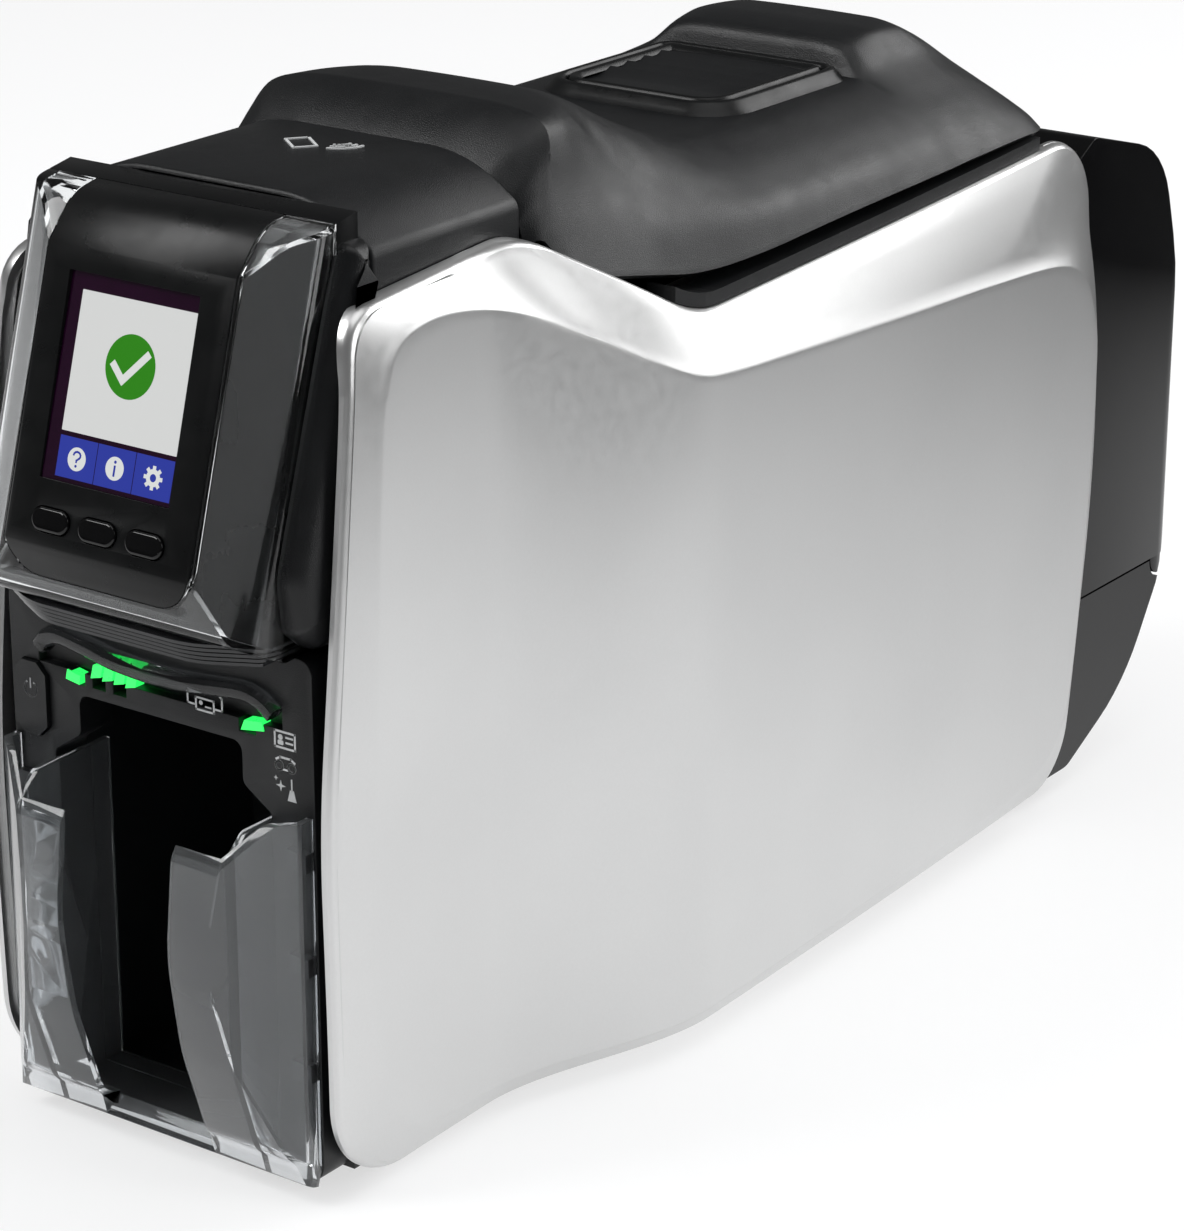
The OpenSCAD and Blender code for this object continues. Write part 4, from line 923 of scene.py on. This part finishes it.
def marks(name, outlines, to_world, low, high, mat, body="chassis"):
    """Flat prints and symbols: outlines raised from low to high along the surface's normal."""
    verts, faces = [], []
    for outline in outlines:
        v, f = rings([[to_world(q[0], q[1], h) for q in outline] for h in (low, high)],
                     True, True, True)
        faces += [tuple(i + len(verts) for i in face) for face in f]
        verts += v
    return seat(mesh_object(verts, faces, name, mat), body, (), 30)


def fascia_at(x, z, out):
    return (x, FASCIA_Y - out, z)


def screen_picture(page, bar, green, white):
    """The page with its tick, and three fields below it: a question mark, a letter i, a gear."""
    left, right = -16.6, 20.4
    pitch, up = (right - left) / 3, 22.6
    ask, info, gear = [left + (k + 0.5) * pitch for k in range(3)]
    fields = [box2(left + k * pitch + (0.12 if k else 0), 17.6, left + (k + 1) * pitch - 0.12, 27.7, 0)
              for k in range(3)]
    hook = arc(ask, up + 0.9, 1.1, 175, -40, 9, 0.9) + [(ask, up - 0.3), (ask, up - 0.7)]
    glyphs = stroke(hook, 0.5) + [disc(ask, up - 1.7, 0.36, 12)]
    glyphs += stroke([(info, up + 0.5), (info, up - 1.7)], 0.6) + [disc(info, up + 1.6, 0.4, 12)]
    cog = []
    for a in np.arange(8) * math.pi / 4:
        c, q = math.cos(a), math.sin(a)
        cog += stroke([(gear + 1.6 * c, up + 1.6 * q), (gear + 2.5 * c, up + 2.5 * q)], 1.0)
    cog += stroke(disc(gear, up, 1.55, 24), 1.1, True)
    cx, cy = 1.9, 47.4
    tick = [(cx - 5.2, cy - 0.3), (cx - 1.9, cy - 3.6), (cx + 4.9, cy + 3.4)]
    discs = [disc(ask, up, 2.9), disc(info, up, 2.9)]
    for name, outlines, low, high, mat in (
            ("screen_page", [box2(left, 28.9, right, 63.4, 0.2)], -0.42, -0.36, page),
            ("screen_bar", fields, -0.42, -0.36, bar),
            ("screen_disc", [disc(cx, cy, 7.9, 48)], -0.36, -0.32, green),
            ("screen_tick", stroke(tick, 1.9), -0.32, -0.28, white),
            ("screen_icon_discs", discs, -0.36, -0.32, white),
            ("screen_glyphs", glyphs, -0.32, -0.28, bar),
            ("screen_gear", cog, -0.36, -0.32, white)):
        marks(name, outlines, face_to_world, low, high, mat)


def star(x, z, r):
    """A sparkle with four points."""
    w = r * 0.22
    return [(x, z + r), (x - w, z + w), (x - r, z), (x - w, z - w),
            (x, z - r), (x + w, z - w), (x + r, z), (x + w, z + w)]


def fascia_marks(white):
    """Card, ribbon cassette, sparkles and broom, and the card feed under the visor."""
    line = 0.55
    lines = stroke([(37.9, 121.6), (44.3, 121.6), (44.3, 125.8), (37.9, 125.8)], line, True)
    lines += [disc(39.7, 124.3, 0.75, 14), box2(38.8, 122.3, 40.6, 123.5, 0.3)]
    lines += stroke([(41.5, 124.5), (43.5, 124.5)], 0.5) + stroke([(41.5, 123.1), (43.5, 123.1)], 0.5)
    lines += stroke([(38.2, 118.3), (39.4, 119.0), (42.8, 119.0), (44.0, 118.3)], line)
    for x in (39.1, 43.0):
        lines += stroke(disc(x, 116.7, 1.15, 18), 0.5, True)
    lines += stroke([(40.2, 115.9), (41.9, 115.9)], 0.5)
    lines += [star(39.4, 111.4, 1.5), star(37.9, 113.2, 0.7)]
    lines += stroke([(42.9, 113.6), (42.9, 110.6)], 0.4)
    lines += [[(42.3, 110.8), (41.5, 107.9), (44.3, 107.9), (43.5, 110.8)]]
    marks("fascia_symbols", lines, fascia_at, 0, 0.12, white)
    feed = stroke([(12, 126.6), (9.9, 126.6), (9.9, 129.8), (11.6, 131.2), (19.4, 131.2), (21.1, 129.8),
                   (21.1, 126.6), (19, 126.6)], 0.5)
    feed += stroke([(12.6, 128.6), (18.4, 128.6), (18.4, 125.4), (12.6, 125.4)], 0.5, True)
    feed += [disc(14.2, 127.4, 0.6, 12)] + stroke([(15.7, 126.6), (17.4, 126.6)], 0.4)
    marks("feed_symbol", feed, fascia_at, 0, 0.12, white)


def visor(mat):
    """The smoky strip over the card slot: a swept bar whose ends turn down."""
    line = [(-38.5, 131.2), (-35.5, 134.4), (-31, 135.6), (-22, 134.6), (-11.4, 133.0), (0, 132.6),
            (8, 132.6), (20, 133.6), (29, 134.4), (34.5, 133.2), (38.6, 130.2)]
    keys = np.linspace(0, 1, len(line))
    at = np.linspace(0, 1, 61)
    xs = smooth_curve(keys, [p[0] for p in line], at)
    zs = smooth_curve(keys, [p[1] for p in line], at)
    loops = []
    for k in range(len(at)):
        a, b = max(k - 1, 0), min(k + 1, len(at) - 1)
        t = unit(np.array([xs[b] - xs[a], zs[b] - zs[a]]))
        up = np.array([-t[1], t[0]])
        loop = []
        for c in np.linspace(0, 2 * math.pi, 17)[:-1]:
            w = 2.3 * math.copysign(abs(math.cos(c)) ** 0.5, math.cos(c))
            d = 2.6 * math.copysign(abs(math.sin(c)) ** 0.5, math.sin(c))
            loop.append((xs[k] + up[0] * w, FASCIA_Y - 2.1 - d + 0.05 * abs(xs[k]), zs[k] + up[1] * w))
        loops.append(loop)
    verts, faces = rings(loops, True, True, True)
    piece("visor_v", verts, faces, mat, "chassis", ("light_bar",), 50)


def lights(mat):
    """The green lights: a striped bar over the slot, a small lens beside it, one by the symbols."""
    bars = [[(x, 125.6), (x + 3.4, 126.5), (x + 4.4, 130.2), (x + 1.0, 129.4)]
            for x in [-22.4 + k * 3.9 for k in range(4)]]
    ends = [[(-31.0, 123.6), (-26.4, 122.9), (-26.0, 125.4), (-30.4, 126.2)],
            [(27.2, 123.4), (34.6, 124.6), (34.0, 126.8), (28.4, 126.2)]]
    obj = marks("status_lights_v", bars + ends, fascia_at, -3.0, 0.35, mat)
    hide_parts("status_lenses")


def power_symbol(mat):
    x, z = -42.6, 118.5
    lines = stroke(arc(x, z, 2.1, 125, 415, 22), 0.5) + stroke([(x, z + 2.7), (x, z + 0.4)], 0.5)
    marks("power_symbol", lines, lambda x, z, out: (x, BUTTON_Y - out, z), 0, 0.1, mat, "power")


def cover_symbol(white):
    """The contactless waves over a tilted card, on the crown of the top cover."""
    c, q = math.cos(math.radians(38)), math.sin(math.radians(38))
    mesh = NODES["front_top_cover"].data
    surface = BVHTree.FromPolygons([v.co for v in mesh.vertices], [f.vertices for f in mesh.polygons])

    def place(x, y, out):
        x0, y0 = 5.0 + x * c + y * q, -128.0 - x * q + y * c
        return (x0, y0, surface.ray_cast((x0 * MM, y0 * MM, 1), (0, 0, -1))[0].z / MM + out)

    lines = []
    for r in (3.2, 5.2, 7.2):
        lines += stroke(arc(-4, 2, r, -38, 38, 8), 0.8)
    lines += stroke([(-11, -4.5), (-1.5, -4.5), (-1.5, -10.5), (-11, -10.5)], 0.7, True)
    marks("cover_symbol", lines, place, -0.4, 0.35, white)


def output_wings(mat):
    """The clear hopper. The lip of its floor hangs a little lower than the solid's."""
    hopper = refine("output_hopper", mat, "chassis", 0.6)
    for v in hopper.data.vertices:
        if v.co.z < 11.5 * MM and v.co.y < (FASCIA_Y - 0.5) * MM:
            v.co.z -= 4.5 * MM


# ---- build --------------------------------------------------------------------------

camera()
world()
floor()
area("key", (-1.2, -1.3, 2.0), (0, -0.05, 0.12), (1.2, 1.2), 36)
area("side", (1.9, 0.25, 0.75), (0, -0.05, 0.12), (0.7, 1.5), 13)
area("back", (0.75, 1.65, 1.35), (0, 0, 0.15), (1.5, 1.1), 24)
area("edge", (1.35, 1.6, 0.55), (0, 0, 0.2), (1.3, 0.8), 7.5)
area("top", (0.3, 0.0, 2.3), (0, 0, 0.1), (1.6, 1.6), 12)

MATTE = grained("matte_black", (0.006, 0.0065, 0.0072), 0.37, Specular_IOR_Level=0.34)
SOFT = grained("soft_black", (0.0045, 0.0048, 0.005), 0.3, 0.4, 0.01, Specular_IOR_Level=0.22)
GLOSS = polished("gloss_black", (0.003, 0.003, 0.0033), 0.06, Specular_IOR_Level=0.32)
SILVER = satin_silver()
CLEAR = clear_plastic("clear_plastic")
STEEL = metal("zinc_steel", (0.50, 0.51, 0.53), 0.34)
ALUMINIUM = metal("bare_aluminium", (0.62, 0.62, 0.60), 0.4)
RUBBER = grained("rubber", (0.022, 0.022, 0.024), 0.62, 0.3, 0.02)
TACKY = polished("tacky_rubber", (0.50, 0.22, 0.03), 0.3)
FILM = polished("ribbon_film", (0.03, 0.02, 0.10), 0.12)
BOARD = polished("solder_mask", (0.006, 0.07, 0.025), 0.22)
CARD = polished("card_white", (0.72, 0.72, 0.71), 0.18)
DARK = grained("dark_plastic", (0.02, 0.021, 0.023), 0.42, 0.5, 0.02)
GREEN = glowing("green_light", (0.02, 0.72, 0.10), 1.5)
SMOOTH = polished("smooth_black", (0.004, 0.0042, 0.0045), 0.22, Specular_IOR_Level=0.25)
MILKY = hazy_plastic("hopper_plastic")
SMOKE = clear_plastic("smoked_plastic", (0.42, 0.44, 0.46), 0.1)
PAGE = glowing("screen_white", (0.83, 0.84, 0.83), 0.7, 0.15, 0.1)
BAR = glowing("screen_blue", (0.035, 0.055, 0.42), 0.7, 0.15, 0.1)
LEAF = glowing("screen_green", (0.035, 0.28, 0.012), 0.7, 0.15, 0.1)
SIGN = glowing("screen_sign", (0.88, 0.9, 0.88), 0.7, 0.15, 0.1)
GLASS = polished("screen_glass", (0.016, 0.002, 0.014), 0.06)
INK = polished("white_ink", (0.62, 0.63, 0.63), 0.4)
GREY_INK = polished("grey_ink", (0.30, 0.305, 0.31), 0.4)

by_slot = {
    "matte_black": MATTE, "gloss_black": GLOSS, "silver": SILVER, "clear": CLEAR,
    "screen": GLASS, "green_lens": GREEN, "dark_clip": DARK, "steel": STEEL,
    "heat_sink": ALUMINIUM, "roller_rubber": RUBBER, "sticky_roller": TACKY,
    "belt_rubber": RUBBER, "ribbon_supply": FILM, "ribbon_takeup": FILM, "board": BOARD,
    "card_white": CARD, "socket_metal": STEEL, "rubber_feet": RUBBER}
for part in frame["record"]["subparts"]:
    paint(part["node"], by_slot[part["material_slot"]])

for sign in (1, -1):
    side_panel(sign, SILVER)
lid(MATTE)
for name, width in (("front_fascia", 0.8), ("front_top_cover", 1.4), ("front_housing", 0.6)):
    refine(name, MATTE, "chassis", width)
paddle_rim(SOFT)
paddle(SOFT, MATTE)
refine("display_housing", SMOOTH, "chassis", 0.5)
display_head(SOFT, CLEAR)
lip_ridges(polished("lip", (0.03, 0.031, 0.033), 0.12))
cheeks(MATTE)
output_wings(MILKY)
for name in ("left_menu", "middle_menu", "right_menu"):
    refine(name + "_button", GLOSS, name, 0.8, 4)
refine("rear_door", GLOSS, "door", 1.5, 4, outer=True)
screen_picture(PAGE, BAR, LEAF, SIGN)
fascia_marks(INK)
power_symbol(GREY_INK)
visor(SMOKE)
lights(GREEN)
cover_symbol(INK)

bpy.context.scene.view_settings.view_transform = "Standard"
